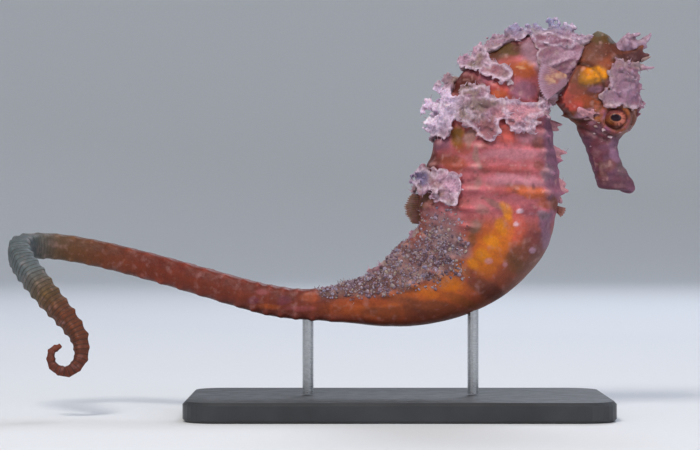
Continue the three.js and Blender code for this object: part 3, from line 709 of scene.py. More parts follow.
def body_relief(points, place, angle, arc):
    """How far the skin stands out from its plain outline, in mm."""
    crest = ring_crests(place)
    pouch = pouch_cover(place, angle)
    in_tail = smooth(place, TAIL_START - 3, TAIL_START)
    begun = smooth(place, 3.6, 6.0)
    worn = smooth(place, TAIL_START - 1, TAIL_START + 3) * 0.55
    lower = smooth(place, 10.4, 11.4) * (1 - smooth(place, 17, 19))
    ring = lerp(TRUNK_RING, TAIL_RING, in_tail) * crest * begun
    ring = ring * (1 - pouch) * (1 - worn) * (1 - 0.75 * lower)
    folds = 0.5 + 0.5 * np.cos(arc / FOLD_SPACING * 2 * math.pi + 0.8 * noise(points, 6, 21))
    side = smooth(np.abs(angle), 0.6, 1.0) - smooth(np.abs(angle), 2.3, 2.7)
    trunk = smooth(place, 5.5, 7) - smooth(place, 10.5, 12)
    fold = FLANK_FOLD * folds * side * trunk * (0.7 + 0.3 * noise(points, 5, 22))
    knob = RIDGE_KNOB * nodules(place, angle) * begun * (1 - pouch) * (0.7 + 0.4 * noise(points, 4, 23))
    fan = neck_fan(points)
    knob = knob * (1 - fan)
    rays = fan * 0.16 * fan_streaks(points, 2)
    crust = crust_field(place, angle, points)
    lumps = crust * (0.45 * noise(points, 2.0, 24, 3) + 0.2)
    mound = CRUST_MOUND * crust * in_range(place, 12.4, 15.6) * smooth(np.abs(angle), 1.2, 0.2)
    lumps = lumps + mound * (0.75 + 0.5 * noise(points, 3.2, 28, 2))
    swell = POUCH_SWELL * pouch * smooth(place, 11.8, 13.5) * (1 - smooth(place, 16, 18.5))
    dimple = pouch * 0.07 * noise(points, 2.4, 25)
    pebbles = 0.10 * noise(points, 1.2, 26, 2) + 0.10 * np.maximum(noise(points, 1.9, 27, 2), 0)
    pebbles = pebbles * (1 - pouch)
    return ring + fold + knob + rays + lumps + swell + dimple + pebbles * (1 - 0.5 * in_tail)


def neck_fan(points):
    """0 to 1 over the smooth streaked skin behind the gill."""
    return smooth(stroke_field(points, NECK_FAN), -1.0, 0.8)


def eye_off(points):
    """Distance from the line through the middle of the eye on the same side, seen from the side."""
    return np.hypot(points[:, 0] - EYE_PLACE[0], points[:, 2] - EYE_PLACE[2])


def gill_bulge(points):
    """How far each point has to move out to lie on the gill cover's dome."""
    side = np.sign(points[:, 1])
    u = (points[:, 0] - GILL_PLACE[0]) / (GILL_SIZE[0] + 0.3)
    w = (points[:, 2] - GILL_PLACE[2]) / (GILL_SIZE[2] + 0.1)
    inside = np.clip(1 - u**2 - w**2, 0, 1)
    dome = GILL_PLACE[1] + (GILL_SIZE[1] - 0.15) * np.sqrt(inside)
    return np.where(inside > 0.02, np.maximum(dome - side * points[:, 1], 0), 0)


def shape_head(points, weight):
    """Moves the head's points sideways for gill covers, eye sockets and lids."""
    side = np.where(points[:, 1] < 0, -1.0, 1.0)
    lateral = smooth(np.abs(points[:, 1]), 1.2, 2.4)
    out = gill_bulge(points) * weight * lateral
    moved = points.copy()
    moved[:, 1] += side * out
    off = eye_off(points)
    flat = smooth(np.abs(points[:, 1]), 0.8, 2.2) * weight
    lid = LID_TOP - 0.2 * smooth(off, 2.2, 3.6) + 0.22 * noise(points, 1.2, 33, 2)
    uneven = 1 + 0.9 * noise(points, 1.0, 34, 2)
    lid = lid - 0.22 * hump(off, 2.2, 0.18) + 0.14 * uneven * hump(off, 2.65, 0.3)
    raise_to = np.where(off < 4.2, lid * smooth(off, 4.3, 2.9), 0)
    moved[:, 1] = np.where(
        (off < 4.3) & (flat > 0.05),
        side * np.maximum(np.abs(moved[:, 1]), raise_to * flat + np.abs(moved[:, 1]) * (1 - flat)),
        moved[:, 1],
    )
    high = side * np.minimum(np.abs(moved[:, 1]), SOCKET_TOP)
    moved[:, 1] = lerp(moved[:, 1], high, smooth(off, 2.6, 2.2) * flat)
    return moved


def head_relief(points, place, angle):
    """Low relief of the head: snout wrinkles, cheek furrow, lips and brow."""
    turned = np.abs(angle)
    snout = 1 - smooth(place, 4.2, 5.6)
    wrinkles = SNOUT_WRINKLE * np.cos(place * 9.0) * snout
    lips = LIP * hump(place, 0.45, 0.22)
    mouth = -MOUTH * hump(place, 0, 0.16) * (1 - smooth(turned, 2.4, 3.0))
    brow = BROW * hump(turned, 0.75, 0.2) * smooth(place, 7.5, 8.5) * (1 - smooth(place, 11, 12.5))
    skin = 0.12 * noise(points, 1.3, 31, 3) + 0.12 * noise(points, 3.0, 32)
    u = (points[:, 0] - GILL_PLACE[0]) / GILL_SIZE[0]
    w = (points[:, 2] - GILL_PLACE[2]) / GILL_SIZE[2]
    round_gill, turn = np.hypot(u, w), np.arctan2(w, u)
    groove = -GILL_GROOVE * hump(round_gill, 1.1, 0.09) * smooth(np.abs(points[:, 1]), 1.5, 2.5)
    striae = GILL_STRIA * np.cos(turn * 26) * smooth(round_gill, 0.35, 0.6)
    striae = striae * (1 - smooth(round_gill, 0.9, 1.0))
    cheek_line = -FURROW * hump(stroke_field(points, CHEEK_FURROW), 0, 0.35)
    return wrinkles + lips + mouth + brow + skin + groove + striae * smooth(place, 6.5, 7.5) + cheek_line


# Colours of the painted skin.
INKS = {
    "pink": "#AE6168", "rose": "#984640", "coral": "#BC5048", "pale_pink": "#C08894", "orange": "#B8602F",
    "bright_orange": "#CC7428", "gold": "#D68C22", "rust": "#984828", "maroon": "#56241C",
    "dark": "#2A1216", "brown": "#6C3C2C", "deep_brown": "#4A2822", "olive": "#523A14",
    "yellow_olive": "#7A5014", "grey_green": "#8A7C70", "grey_olive": "#5E5C50", "mauve": "#7C586E",
    "dusk": "#623E50", "lilac": "#96708A", "pale_lilac": "#C09AB4", "violet_grey": "#7E6A74",
    "tan": "#98785C", "streak": "#E0BC94", "wine": "#66303A", "tail_rust": "#5E2319",
    "tail_brown": "#54302A", "weed": "#56676E", "ochre": "#54482C", "ember": "#5C2E1C", "violet": "#6A6A96",
    "icy_lilac": "#DAC8E2", "shell_pink": "#D0909C", "shell_lilac": "#C8A0B8", "bead_white_and_highlight": "#EBCFDD",
    "hot_coral": "#CA5E50", "crown_brown": "#4C2629", "red_brown": "#5C2C1E", "amber": "#A2602A",
}
# Marks of colour on the side view: [x, y, half length, half height, turn in degrees, ink, strength].
BODY_MARKS = [
    [470, 110, 60, 30, 0, "rose", 0.5], [502, 51, 22, 10, -6, "olive", 0.95],
    [492, 57, 10, 8, 0, "red_brown", 0.7], [524, 49, 14, 6, 10, "maroon", 0.85],
    [520, 70, 20, 9, -8, "orange", 0.75], [526, 66, 9, 5, 0, "bright_orange", 0.7],
    [512, 74, 9, 6, 0, "rose", 0.5], [507, 62, 9, 6, 0, "rose", 0.6], [520, 72, 18, 9, -8, "rust", 0.6],
    [519, 69, 6, 1.3, -12, "streak", 0.4], [460, 84, 20, 12, 0, "maroon", 0.9],
    [466, 90, 8, 6, 0, "olive", 0.8], [452, 78, 8, 5, 0, "wine", 0.7],
    [440, 80, 8, 10, 0, "deep_brown", 0.7], [484, 84, 8, 8, 0, "mauve", 0.5],
    [493, 95, 15, 11, 0, "coral", 0.7], [495, 98, 12, 7, 0, "orange", 0.6],
    # The dark stroke at 540, 92 on the next line is painted shadow under the edge of the fan behind the
    # head.
    [522, 92, 14, 9, 0, "mauve", 0.7], [540, 92, 4, 11, -20, "dark", 0.8],
    [457, 138, 9, 12, 0, "yellow_olive", 0.9], [456, 134, 6, 6, 0, "olive", 0.6],
    [462, 150, 9, 6, 0, "rust", 0.5], [504, 136, 13, 12, 0, "hot_coral", 0.65],
    [528, 138, 16, 7, 0, "pale_pink", 0.6], [538, 144, 7, 6, 0, "brown", 0.7],
    [537, 166, 6, 5, 0, "brown", 0.6], [484, 146, 5, 5, 0, "brown", 0.5],
    [481, 168, 5, 6, 0, "brown", 0.5], [442, 146, 9, 9, 0, "mauve", 0.5],
    [445, 155, 12, 8, 0, "rose", 0.5], [452, 164, 16, 8, -10, "rust", 0.7],
    [446, 160, 12, 8, 0, "red_brown", 0.4], [430, 160, 9, 12, 20, "maroon", 0.85],
    [424, 190, 10, 9, 0, "wine", 0.7], [420, 202, 15, 10, 0, "olive", 0.95],
    [418, 196, 5, 4, 0, "rose", 0.6], [512, 156, 34, 6, 0, "pale_pink", 0.55],
    [515, 181, 34, 7, -3, "pale_pink", 0.65], [505, 170, 30, 4, 0, "rose", 0.6],
    [528, 191, 24, 7, -8, "orange", 0.75], [500, 190, 14, 6, 0, "rose", 0.5],
    [546, 203, 12, 6, 0, "rust", 0.8], [549, 198, 5, 3, 0, "dark", 0.6],
    [469, 138, 4, 12, -18, "grey_green", 0.55], [476, 158, 3.5, 12, 6, "grey_green", 0.5],
    [474, 184, 4, 10, 0, "grey_green", 0.35], [480, 210, 8, 5, -20, "grey_green", 0.35],
    [472, 228, 8, 7, 0, "grey_olive", 0.6], [492, 204, 13, 4, -30, "grey_olive", 0.5],
    [470, 240, 6, 7, 0, "olive", 0.5], [550, 150, 8, 56, 0, "mauve", 0.8],
    [546, 172, 7, 9, 0, "violet_grey", 0.5], [553, 205, 6, 8, 0, "brown", 0.8],
    [445, 215, 30, 12, -30, "pink", 0.5], [440, 225, 18, 12, -30, "violet_grey", 0.5],
    [458, 205, 12, 8, 0, "rose", 0.5], [512, 226, 12, 20, 0, "hot_coral", 0.6],
    # The two pale spots at 518, 212 and 514, 224 on the next line are painted highlights on the pouch's
    # front.
    [518, 212, 4, 2.5, 0, "bead_white_and_highlight", 0.8], [514, 224, 3, 2.4, 0, "bead_white_and_highlight", 0.7],
    [529, 214, 3, 2, 0, "pale_pink", 0.6], [528, 212, 10, 8, 0, "wine", 0.5],
    [505, 226, 13, 10, -65, "bright_orange", 0.5], [499, 240, 15, 12, -58, "bright_orange", 0.5],
    [490, 252, 15, 12, -45, "bright_orange", 0.5], [479, 263, 15, 10, -40, "bright_orange", 0.5],
    [504, 211, 11, 6, -62, "gold", 0.6], [499, 226, 10, 6, -72, "gold", 0.45],
    [490, 243, 10, 6, -55, "gold", 0.45], [481, 256, 10, 6, -42, "gold", 0.45],
    [472, 264, 8, 5, -38, "gold", 0.4], [500, 252, 10, 7, -40, "orange", 0.4],
    [467, 276, 11, 6, -20, "coral", 0.6], [462, 272, 12, 5, -35, "gold", 0.35],
    [448, 283, 16, 8, -25, "bright_orange", 0.7], [425, 291, 16, 6, -15, "bright_orange", 0.45],
    [405, 295, 24, 7, -6, "orange", 0.6], [396, 299, 14, 5, 0, "brown", 0.4],
    [365, 301, 26, 6, -4, "rust", 0.8], [545, 232, 9, 22, 10, "mauve", 0.85],
    [532, 243, 11, 18, 10, "wine", 0.6], [541, 215, 7, 5, 0, "violet_grey", 0.7],
    [524, 258, 20, 16, -45, "brown", 0.75], [512, 262, 12, 10, -40, "olive", 0.4],
    # The long deep brown mark at 488, 290 on the next line is painted shadow along the pouch's lower edge.
    [488, 290, 34, 10, -35, "deep_brown", 0.7], [487, 261, 4, 3, 0, "pale_pink", 0.6],
    [503, 264, 3, 2.5, 0, "pale_pink", 0.5], [531, 250, 4, 3, 0, "pale_lilac", 0.5],
    [440, 310, 50, 9, -12, "brown", 0.75], [460, 300, 20, 5, -20, "olive", 0.35],
    [395, 312, 40, 7, 0, "deep_brown", 0.5], [425, 244, 14, 7, 0, "rose", 0.8],
    [452, 245, 22, 12, -30, "violet_grey", 0.6], [253, 300, 6, 4, 0, "wine", 0.8],
    [284, 299, 8, 5, 0, "wine", 0.8], [268, 306, 12, 3, 0, "orange", 0.35],
    [262, 292, 6, 3, 0, "pink", 0.35], [310, 297, 12, 5, 0, "rust", 0.7],
    [300, 308, 18, 3, 0, "pink", 0.3],
]
HEAD_MARKS = [
    [566, 98, 22, 16, 0, "rose", 0.85], [586, 102, 13, 9, 0, "rust", 0.7], [556, 96, 5, 8, 0, "rust", 0.5],
    [576, 92, 12, 5, -10, "brown", 0.6], [592, 76, 15, 9, 8, "gold", 0.95],
    [586, 72, 8, 5, 0, "bright_orange", 0.6], [590, 84, 16, 5, 10, "olive", 0.55],
    [580, 78, 5, 7, 0, "yellow_olive", 0.5], [592, 71, 6, 3.5, 0, "gold", 0.9],
    [606, 62, 12, 10, 0, "rust", 0.6], [594, 54, 9, 9, 0, "brown", 0.6],
    [606, 48, 14, 12, 0, "red_brown", 0.85], [604, 36, 20, 9, 0, "olive", 0.85],
    [602, 30, 14, 6, 0, "grey_olive", 0.7], [612, 40, 5, 4, 0, "weed", 0.5],
    # On the next line the dark stroke at 585, 40 is painted shade in a crease, and the deep brown spot at
    # 618, 60 painted shadow under the crown.
    [585, 40, 7, 3, -20, "dark", 0.9], [618, 60, 9, 5, 0, "deep_brown", 0.9],
    [622, 46, 8, 6, 0, "deep_brown", 0.8], [638, 59, 16, 8, 0, "crown_brown", 0.95],
    [627, 82, 20, 17, 0, "lilac", 0.8], [618, 99, 18, 8, 0, "lilac", 0.8],
    # The dark spot at 598, 100 on the next line is painted shade in a crease at the edge of the forehead
    # growth.
    [598, 100, 5, 3.5, 0, "dark", 0.8], [588, 95, 7, 5, 0, "deep_brown", 0.6],
    [598, 90, 15, 6, 0, "maroon", 0.65], [594, 91, 9, 4, 0, "mauve", 0.6],
    [586, 115, 13, 5, 10, "pale_lilac", 0.6], [574, 108, 8, 5, 20, "coral", 0.6],
    [613, 120, 19, 12, 0, "brown", 0.8], [600, 110, 11, 4, 0, "rust", 0.8],
    [594, 119, 8, 4, 0, "maroon", 0.6], [596, 121, 7, 3, 0, "amber", 0.8],
    # The two dark spots at the end of the next line are painted shadow below the eye.
    [597, 112, 7, 3, 0, "amber", 0.7], [604, 131, 5, 4, 0, "dark", 0.5], [592, 128, 5, 3, 0, "dark", 0.4],
    [598, 128, 4, 2.5, 10, "pale_lilac", 0.6], [603, 134, 4, 2, 10, "pale_lilac", 0.4],
    # The dusk mark at 600, 130 on the next line is painted shadow below the eye.
    [590, 124, 4, 2.5, 0, "pale_lilac", 0.5], [600, 130, 14, 6, 10, "dusk", 0.85],
    [624, 128, 9, 7, 0, "brown", 0.6], [585, 128, 12, 6, 20, "wine", 0.6],
    [604, 146, 13, 8, 10, "lilac", 0.35], [614, 156, 6, 7, 10, "lilac", 0.6],
    [596, 158, 6, 14, 20, "wine", 0.7], [599, 141, 11, 7, 10, "wine", 0.85],
    [603, 152, 6, 7, 20, "wine", 0.5], [608, 166, 8, 6, 10, "brown", 0.5],
    [622, 168, 6, 9, 20, "grey_olive", 0.35], [617, 184, 22, 7, 8, "deep_brown", 0.6],
    [602, 176, 5, 8, 10, "brown", 0.6], [616, 177, 5, 4, 0, "wine", 0.6], [628, 184, 5, 4, 0, "dusk", 0.5],
    [616, 180, 22, 10, 8, "dusk", 0.45], [601, 142, 9, 5, 10, "crown_brown", 0.35],
    [600, 166, 3, 5, 20, "olive", 0.35],
]


def paint(colours, points, marks, speckled):
    """Lays soft-edged marks over the colours of both sides, then mottling and specks."""
    ragged = 0.22 * noise(points, 1.3, 41, 3)
    warp = 1.1 * np.column_stack([noise(points, 3.6, 43, 3), noise(points, 3.6, 44, 3)])
    for x, y, length, height, turn, ink, strength in marks:
        off = (points[:, [0, 2]] + warp * min(1.0, 0.1 * height) - drawn(x, y)) / STEP
        c, s = math.cos(math.radians(turn)), math.sin(math.radians(turn))
        u = (off[:, 0] * c + off[:, 1] * s) / length
        w = (-off[:, 0] * s + off[:, 1] * c) / height
        cover = strength * smooth(np.hypot(u, w) + ragged, 1.2, 0.6)
        colours = washed(colours, ink, cover)
    mottle = 1 + 0.20 * noise(points, 1.1, 45, 3) + 0.14 * noise(points, 2.6, 46, 2)
    freckle = smooth(noise(points, 0.9, 47, 2), 0.42, 0.62)
    colours = lerp(colours * mottle[:, None], linear("#C9A09A"), (0.32 * freckle * speckled)[:, None])
    fleck = smooth(noise(points, 1.3, 48, 2), 0.45, 0.7)
    return lerp(colours, linear("#42201E"), (0.5 * fleck * speckled)[:, None])


def eye_streaks(colours, points):
    """Orange and dark streaks that run out from the eye over its lids."""
    off = eye_off(points)
    turn = np.arctan2(points[:, 2] - EYE_PLACE[2], points[:, 0] - EYE_PLACE[0])
    rays = noise(np.column_stack([np.cos(turn) * 1.7, np.sin(turn) * 1.7, off * 0.25]), 0.5, 82, 3)
    patches = smooth(noise(points, 0.9, 85, 2), -0.3, 0.4)[:, None]
    pale = lerp(linear("#9C561E"), linear("#8A5270"), patches)
    streaks = lerp(linear("#42201F"), pale, smooth(rays, -0.4, 0.4)[:, None])
    cover = (1 - smooth(off + 0.9 * noise(points, 1.4, 83, 2), 2.0, 3.7)) * 0.7
    return lerp(colours, streaks, cover[:, None])


def body_colours(points, place, angle):
    """Ground colours by ring and by height on the body, before the marks."""
    turned = np.abs(angle)
    ground = np.tile(linear("pink"), (len(points), 1))

    def lay(ink, cover):
        nonlocal ground
        ground = washed(ground, ink, np.clip(cover, 0, 1))

    wander = 0.25 * noise(points, 4.0, 51, 3)
    lay("wine", smooth(turned + wander, 0.95, 0.45) * 0.8)
    # Painted shade along the belly side: the mauve here, and the brown and tail brown below, darken the
    # side away from the back.
    lay("mauve", smooth(turned + wander, 2.35, 2.75) * 0.7 * (1 - smooth(place, 11, 13)))
    lower = smooth(place, 11.0, 12.5)
    lay("rust", lower * 0.85)
    lay("red_brown", lower * 0.25)
    lay("orange", lower * smooth(turned + wander, 1.2, 1.6) * (1 - smooth(turned + wander, 1.9, 2.4)) * 0.7)
    lay("brown", lower * smooth(turned + wander, 2.0, 2.7) * 0.85 * (1 - smooth(place, 20, 23)))
    in_tail = smooth(place, 17.5, 20.0)
    lay("tail_rust", in_tail * 0.9)
    lay("tail_brown", in_tail * smooth(turned + wander, 2.0, 2.7) * 0.6)
    lay("ochre", smooth(place, 24.0, 28.0) * 0.8)
    lay("weed", (smooth(place, 26.5, 28.6) - smooth(place, 30.6, 32.0)) * 0.75)
    lay("ember", smooth(place, 31.8, 33.0) * 0.9)
    lay("maroon", smooth(place, 33.5, 36.0) * 0.6)
    return ground


def skin_uv(place, angle, weight, head_place, head_angle):
    """An unwrap of the skin along the body and round it; the head has its own island."""
    arc = np.interp(place, ARC_PLACES, ARC_LENGTHS) / ARC_LENGTHS[-1]
    u = np.where(weight > 0.5, 0.02 + 0.18 * head_place / HEAD.last, 0.22 + 0.76 * arc)
    v = 0.5 + 0.47 * np.where(weight > 0.5, head_angle, angle) / math.pi
    return np.column_stack([u, v, np.zeros(len(u))])


def make_skin():
    skin = rough_skin()
    mesh = skin.data
    edges = edges_of(mesh)
    points = relax(points_of(mesh), edges, 3)
    place, angle, off_body = locate(BODY, body_outline, points, 0.5)
    head_place, head_angle, off_head = locate(HEAD, head_outline, points)
    weight = relax(smooth(off_body - off_head, -0.5, 0.5), edges, 3)
    crown = smooth(np.linalg.norm(points - (CORONET_TOP + CORONET_FOOT) / 2, axis=1), 3.6, 2.6)
    weight = np.maximum(weight, crown)
    move_points(mesh, points)
    normals = relax(normals_of(mesh), edges, 2)
    arc = np.interp(place, ARC_PLACES, ARC_LENGTHS)
    relief = body_relief(points, place, angle, arc) * (1 - weight)
    relief = relief + head_relief(points, head_place, head_angle) * weight
    shaped = shape_head(points + normals * relief[:, None], weight)
    shaped = lerp(shaped, relax(shaped, edges, 1), 0.5)
    move_points(mesh, shaped)
    shade_smooth(mesh)
    normals = normals_of(mesh)

    wide = relax(shaped, edges, 8)
    proud = dot(shaped - wide, normals)
    speckled = 1 - 0.75 * smooth(place, 10.5, 12.5)
    body = paint(body_colours(shaped, place, angle), shaped, BODY_MARKS, speckled)
    head = np.tile(linear("brown"), (len(shaped), 1))
    snout = smooth(head_place, 5.6, 4.4)
    head = washed(head, "dusk", snout)
    head = paint(head, shaped, HEAD_MARKS, np.ones(len(shaped)))
    fan = neck_fan(shaped) * (1 - weight) * smooth(np.abs(shaped[:, 1]), 1.5, 3.0)
    streaks = 0.5 + 0.5 * fan_streaks(shaped, 3)
    streaked = lerp(linear("#8E6A78"), linear("#CDAEC0"), smooth(streaks, 0.25, 0.75)[:, None])
    body = lerp(body, streaked, (fan * 0.9)[:, None])
    head = eye_streaks(head, shaped)
    colours = lerp(body, head, weight[:, None])
    crust = crust_field(place, angle, shaped) * (1 - weight)
    grit = smooth(noise(shaped, 1.0, 62, 3), -0.5, 0.6)
    speck = lerp(linear("#5E464C"), linear("#A48E8C"), grit[:, None])
    speck = speck * (1 - 0.5 * smooth(place, 15.0, 17.5))[:, None]
    colours = lerp(colours, speck, (crust * 0.75)[:, None])
    knobs = nodules(place, angle) * (1 - weight) * (1 - smooth(place, 10, 11.5))
    colours = washed(colours, "#AC8684", 0.35 * smooth(knobs, 0.4, 0.9))
    grey = colours.mean(axis=1, keepdims=True)
    colours = np.clip(lerp(grey, colours, 1.10), 0.002, 1)
    # Painted highlight and painted shade: points standing proud of their neighbours are painted lighter,
    # points in grooves and creases darker.
    light = np.clip(1 + 3.4 * proud, 0.5, 1.6)
    colours = np.clip(colours * light[:, None], 0, 0.95)
    pouch = pouch_cover(place, angle) * (1 - weight)
    annuli = (smooth(place, 26.5, 28.5) - smooth(place, 36.5, 38.5)) * (1 - weight)
    set_tint(mesh, colours)
    set_attribute(mesh, "arc", arc)
    set_attribute(mesh, "annuli", annuli)
    set_attribute(mesh, "sheen_mask", np.clip(pouch + 0.3 * in_range(place, 18, 24), 0, 1))
    set_attribute(mesh, "crust", crust)
    set_attribute(mesh, "skin_uv", skin_uv(place, angle, weight, head_place, head_angle))
    return skin, weight


def fan_streaks(points, octaves):
    """Noise that streaks out from behind the nape, where the skin and the growth over it agree."""
    return noise(fan_lines(points), 0.9, 61, octaves)


def in_range(value, low, high):
    """1 between low and high, eased over the nearest half on either side."""
    return smooth(value, low - 0.5, low + 0.5) - smooth(value, high - 0.5, high + 0.5)


def fan_lines(points):
    """Points turned and stretched so that noise on them streaks out from behind the nape."""
    off = points[:, [0, 2]] - drawn(640, 22)
    turn = np.arctan2(off[:, 1], off[:, 0])
    return np.column_stack([np.hypot(*off.T) * 0.16, points[:, 1] * 0.5, turn * 14])


# ---------- materials ----------


def new_material(name):
    """An empty material and its tree."""
    material = bpy.data.materials.new(name)
    material.use_nodes = True
    material.node_tree.nodes.clear()
    return material, material.node_tree


def add(tree, kind, given=(), out=0, **settings):
    """Adds a node with its settings; its inputs are values or the sockets that feed them.
    Gives the output of that name or number."""
    node = tree.nodes.new(kind if "Node" in kind else "ShaderNode" + kind)
    for key, value in settings.items():
        setattr(node, key, value)
    for key, value in dict(given).items():
        if isinstance(value, bpy.types.NodeSocket):
            tree.links.new(value, node.inputs[key])
        else:
            node.inputs[key].default_value = value
    return node.outputs[out] if node.outputs else None


def coated(material, look):
    """The material with one surface finish of these values."""
    tree = material.node_tree
    add(tree, "OutputMaterial", {"Surface": add(tree, "BsdfPrincipled", look)})
    return material


def speckle(tree, size):
    """Cloudy speckle of that size in mm, on the model's own coordinates, from 0 to 1."""
    where = add(tree, "TexCoord", out="Object")
    form = {"Vector": where, "Scale": 1 / (size * MM), "Detail": 3.0, "Roughness": 0.55}
    return add(tree, "TexNoise", form)


def stained(tree, tint, size, thin, full, most, ink, blend="MIX"):
    """A tint with an ink over it in patches of that size in mm, from none where the speckle is
    at thin to its most where it is at full."""
    patches = {"Value": speckle(tree, size), "From Min": thin, "From Max": full, "To Max": most}
    colours = {0: add(tree, "MapRange", patches), 6: tint, 7: shade_of(ink)}
    return add(tree, "Mix", colours, out=2, data_type="RGBA", blend_type=blend)


def fish_skin():
    """Living fish skin over bone plates, painted on a cast: satin, finely pebbled, softly lit from within.
    Its pebbles are 0.1 mm on the animal and drawn at 0.4 mm, so that they show."""
    m, tree = new_material("pebbled_fish_skin")
    tint = add(tree, "Attribute", out="Color", attribute_name="tint")
    tint = stained(tree, tint, 0.45, 0.35, 0.7, 0.22, "#3A1C20", "MULTIPLY")
    tint = stained(tree, tint, 1.8, 0.55, 0.75, 0.2, "#D8A8A8")
    arc = add(tree, "Attribute", out="Fac", attribute_name="arc")
    turns = add(tree, "Math", {0: arc, 1: 2 * math.pi / ANNULUS_SPACING}, operation="MULTIPLY")
    wave = add(tree, "Math", {0: turns}, operation="SINE")
    band = add(tree, "Math", {0: speckle(tree, 1.2), 1: 1.2, 2: wave}, operation="MULTIPLY_ADD")
    furrow = add(tree, "MapRange", {"Value": band, "From Min": 0.2, "From Max": -0.4})
    ringed = add(tree, "Attribute", out="Fac", attribute_name="annuli")
    furrow = add(tree, "Math", {0: furrow, 1: ringed}, operation="MULTIPLY")
    # Painted shade: the ring furrows round the tail are painted darker where the bump sinks them.
    cover = add(tree, "Math", {0: furrow, 1: 0.6}, operation="MULTIPLY")
    tint = add(tree, "Mix", {0: cover, 6: tint, 7: shade_of("#2E241C")}, out=2, data_type="RGBA")
    where = add(tree, "TexCoord", out="Object")
    pebbles = add(tree, "TexVoronoi", {"Vector": where, "Scale": 1 / (0.42 * MM)}, feature="SMOOTH_F1")
    fine = speckle(tree, 0.45)
    grit = add(tree, "Math", {0: fine, 1: 0.7}, operation="MULTIPLY")
    height = add(tree, "Math", {0: pebbles, 1: -0.5, 2: grit}, operation="MULTIPLY_ADD")
    satin = add(tree, "Attribute", out="Fac", attribute_name="sheen_mask")
    flatter = add(tree, "MapRange", {"Value": satin, "To Min": 1.0, "To Max": 0.35})
    height = add(tree, "Math", {0: height, 1: flatter}, operation="MULTIPLY")
    height = add(tree, "Math", {0: furrow, 1: -0.8, 2: height}, operation="MULTIPLY_ADD")
    wet = add(tree, "MapRange", {"Value": satin, "To Min": 0.54, "To Max": 0.36})
    look = {
        "Base Color": tint,
        "Roughness": add(tree, "Math", {0: fine, 1: 0.12, 2: wet}, operation="MULTIPLY_ADD"),
        "IOR": 1.4,
        "Subsurface Weight": 0.12,
        "Subsurface Radius": (1.0, 0.4, 0.25),
        "Subsurface Scale": 0.0012,
        "Normal": add(tree, "Bump", {"Height": height, "Strength": 0.42, "Distance": 0.22 * MM}),
    }
    return coated(m, look)


def soft_growth():
    """Soft skin flaps and fine weed on them: pale, matt, slightly translucent at the ruffled edges."""
    m, tree = new_material("ruffled_skin_flaps")
    tint = add(tree, "Attribute", out="Color", attribute_name="tint")
    tint = stained(tree, tint, 1.6, 0.54, 0.74, 0.42, "#9A8E7C")
    tint = stained(tree, tint, 0.5, 0.62, 0.35, 0.42, "#6E4A5C")
    look = {
        "Base Color": tint,
        "Roughness": 0.55,
        "IOR": 1.4,
        "Subsurface Weight": 0.3,
        "Subsurface Radius": (1.0, 0.6, 0.6),
        "Subsurface Scale": 0.001,
        "Normal": add(tree, "Bump", {"Height": speckle(tree, 0.5), "Strength": 0.6, "Distance": 0.25 * MM}),
    }
    return coated(m, look)


def crust_grains():
    """Coralline crust and sand caught in fine weed: dull grains of violet, tan, grey and off-white."""
    m, tree = new_material("coralline_crust_grains")
    ramp = add(tree, "ValToRGB", {"Fac": add(tree, "Attribute", out="Fac", attribute_name="shade")})
    inks = [
        (0.0, "#5C4450"), (0.25, "#866C7A"), (0.5, "#A48CA0"), (0.7, "#AE9A88"), (0.88, "#A098B4"),
        (1.0, "#C6B4C0"),
    ]
    stops = ramp.node.color_ramp.elements
    for _ in range(len(inks) - 2):
        stops.new(0.5)
    for stop, (at, ink) in zip(stops, inks):
        stop.position = at
        stop.color = shade_of(ink)
    look = {
        "Base Color": stained(tree, ramp, 0.3, 0.65, 0.35, 0.45, "#3A2A34"),
        "Roughness": 0.7,
        "IOR": 1.45,
        "Normal": add(tree, "Bump", {"Height": speckle(tree, 0.3), "Strength": 0.5, "Distance": 0.15 * MM}),
    }
    return coated(m, look)


def soft_down():
    """Fine pale down of weed and hydroids on the flaps: dull lilac threads."""
    m, tree = new_material("pale_weed_down")
    shade = add(tree, "Attribute", out="Fac", attribute_name="shade")
    ends = {0: shade, 6: shade_of("#9A7E90"), 7: shade_of("#D8C2D6")}
    tint = add(tree, "Mix", ends, out=2, data_type="RGBA")
    tint = stained(tree, tint, 0.6, 0.4, 0.7, 0.35, "#7E626C")
    return coated(m, {"Base Color": tint, "Roughness": 0.65, "IOR": 1.4})


def glass_eye():
    """A blown glass eye under clear lacquer: sharp highlight over a painted iris."""
    m, tree = new_material("painted_glass_eye")
    look = {
        "Base Color": add(tree, "Attribute", out="Color", attribute_name="tint"),
        "Roughness": 0.5,
        "IOR": 1.2,
        "Coat Weight": 0.7,
        "Coat Roughness": 0.05,
        "Coat IOR": 1.3,
    }
    return coated(m, look)


def fin_web():
    """Thin fin web between soft rays: satin, streaked along the rays, light shows through."""
    m, tree = new_material("rayed_fin_web")
    tint = add(tree, "Attribute", out="Color", attribute_name="tint")
    look = {
        "Base Color": stained(tree, tint, 0.9, 0.4, 0.7, 0.4, "#7A4A58"),
        "Roughness": 0.45,
        "IOR": 1.4,
        "Subsurface Weight": 0.35,
        "Subsurface Radius": (1.0, 0.6, 0.5),
        "Subsurface Scale": 0.001,
        "Normal": add(tree, "Bump", {"Height": speckle(tree, 0.5), "Strength": 0.3, "Distance": 0.1 * MM}),
    }
    return coated(m, look)


def powder_coat():
    """Steel plate under a satin powder coat: dark, with a faint orange-peel texture."""
    m, tree = new_material("satin_powder_coated_steel")
    clouds = speckle(tree, 4.0)
    patches = {"Value": clouds, "From Min": 0.3, "From Max": 0.7, "To Min": 0.38, "To Max": 0.52}
    peel = {"Height": speckle(tree, 0.7), "Strength": 0.25, "Distance": 0.05 * MM}
    look = {
        "Base Color": stained(tree, shade_of("#2A2C2F"), 9.0, 0.35, 0.7, 1.0, "#35373B"),
        "Roughness": add(tree, "MapRange", patches),
        "IOR": 1.5,
        "Normal": add(tree, "Bump", peel),
    }
    return coated(m, look)


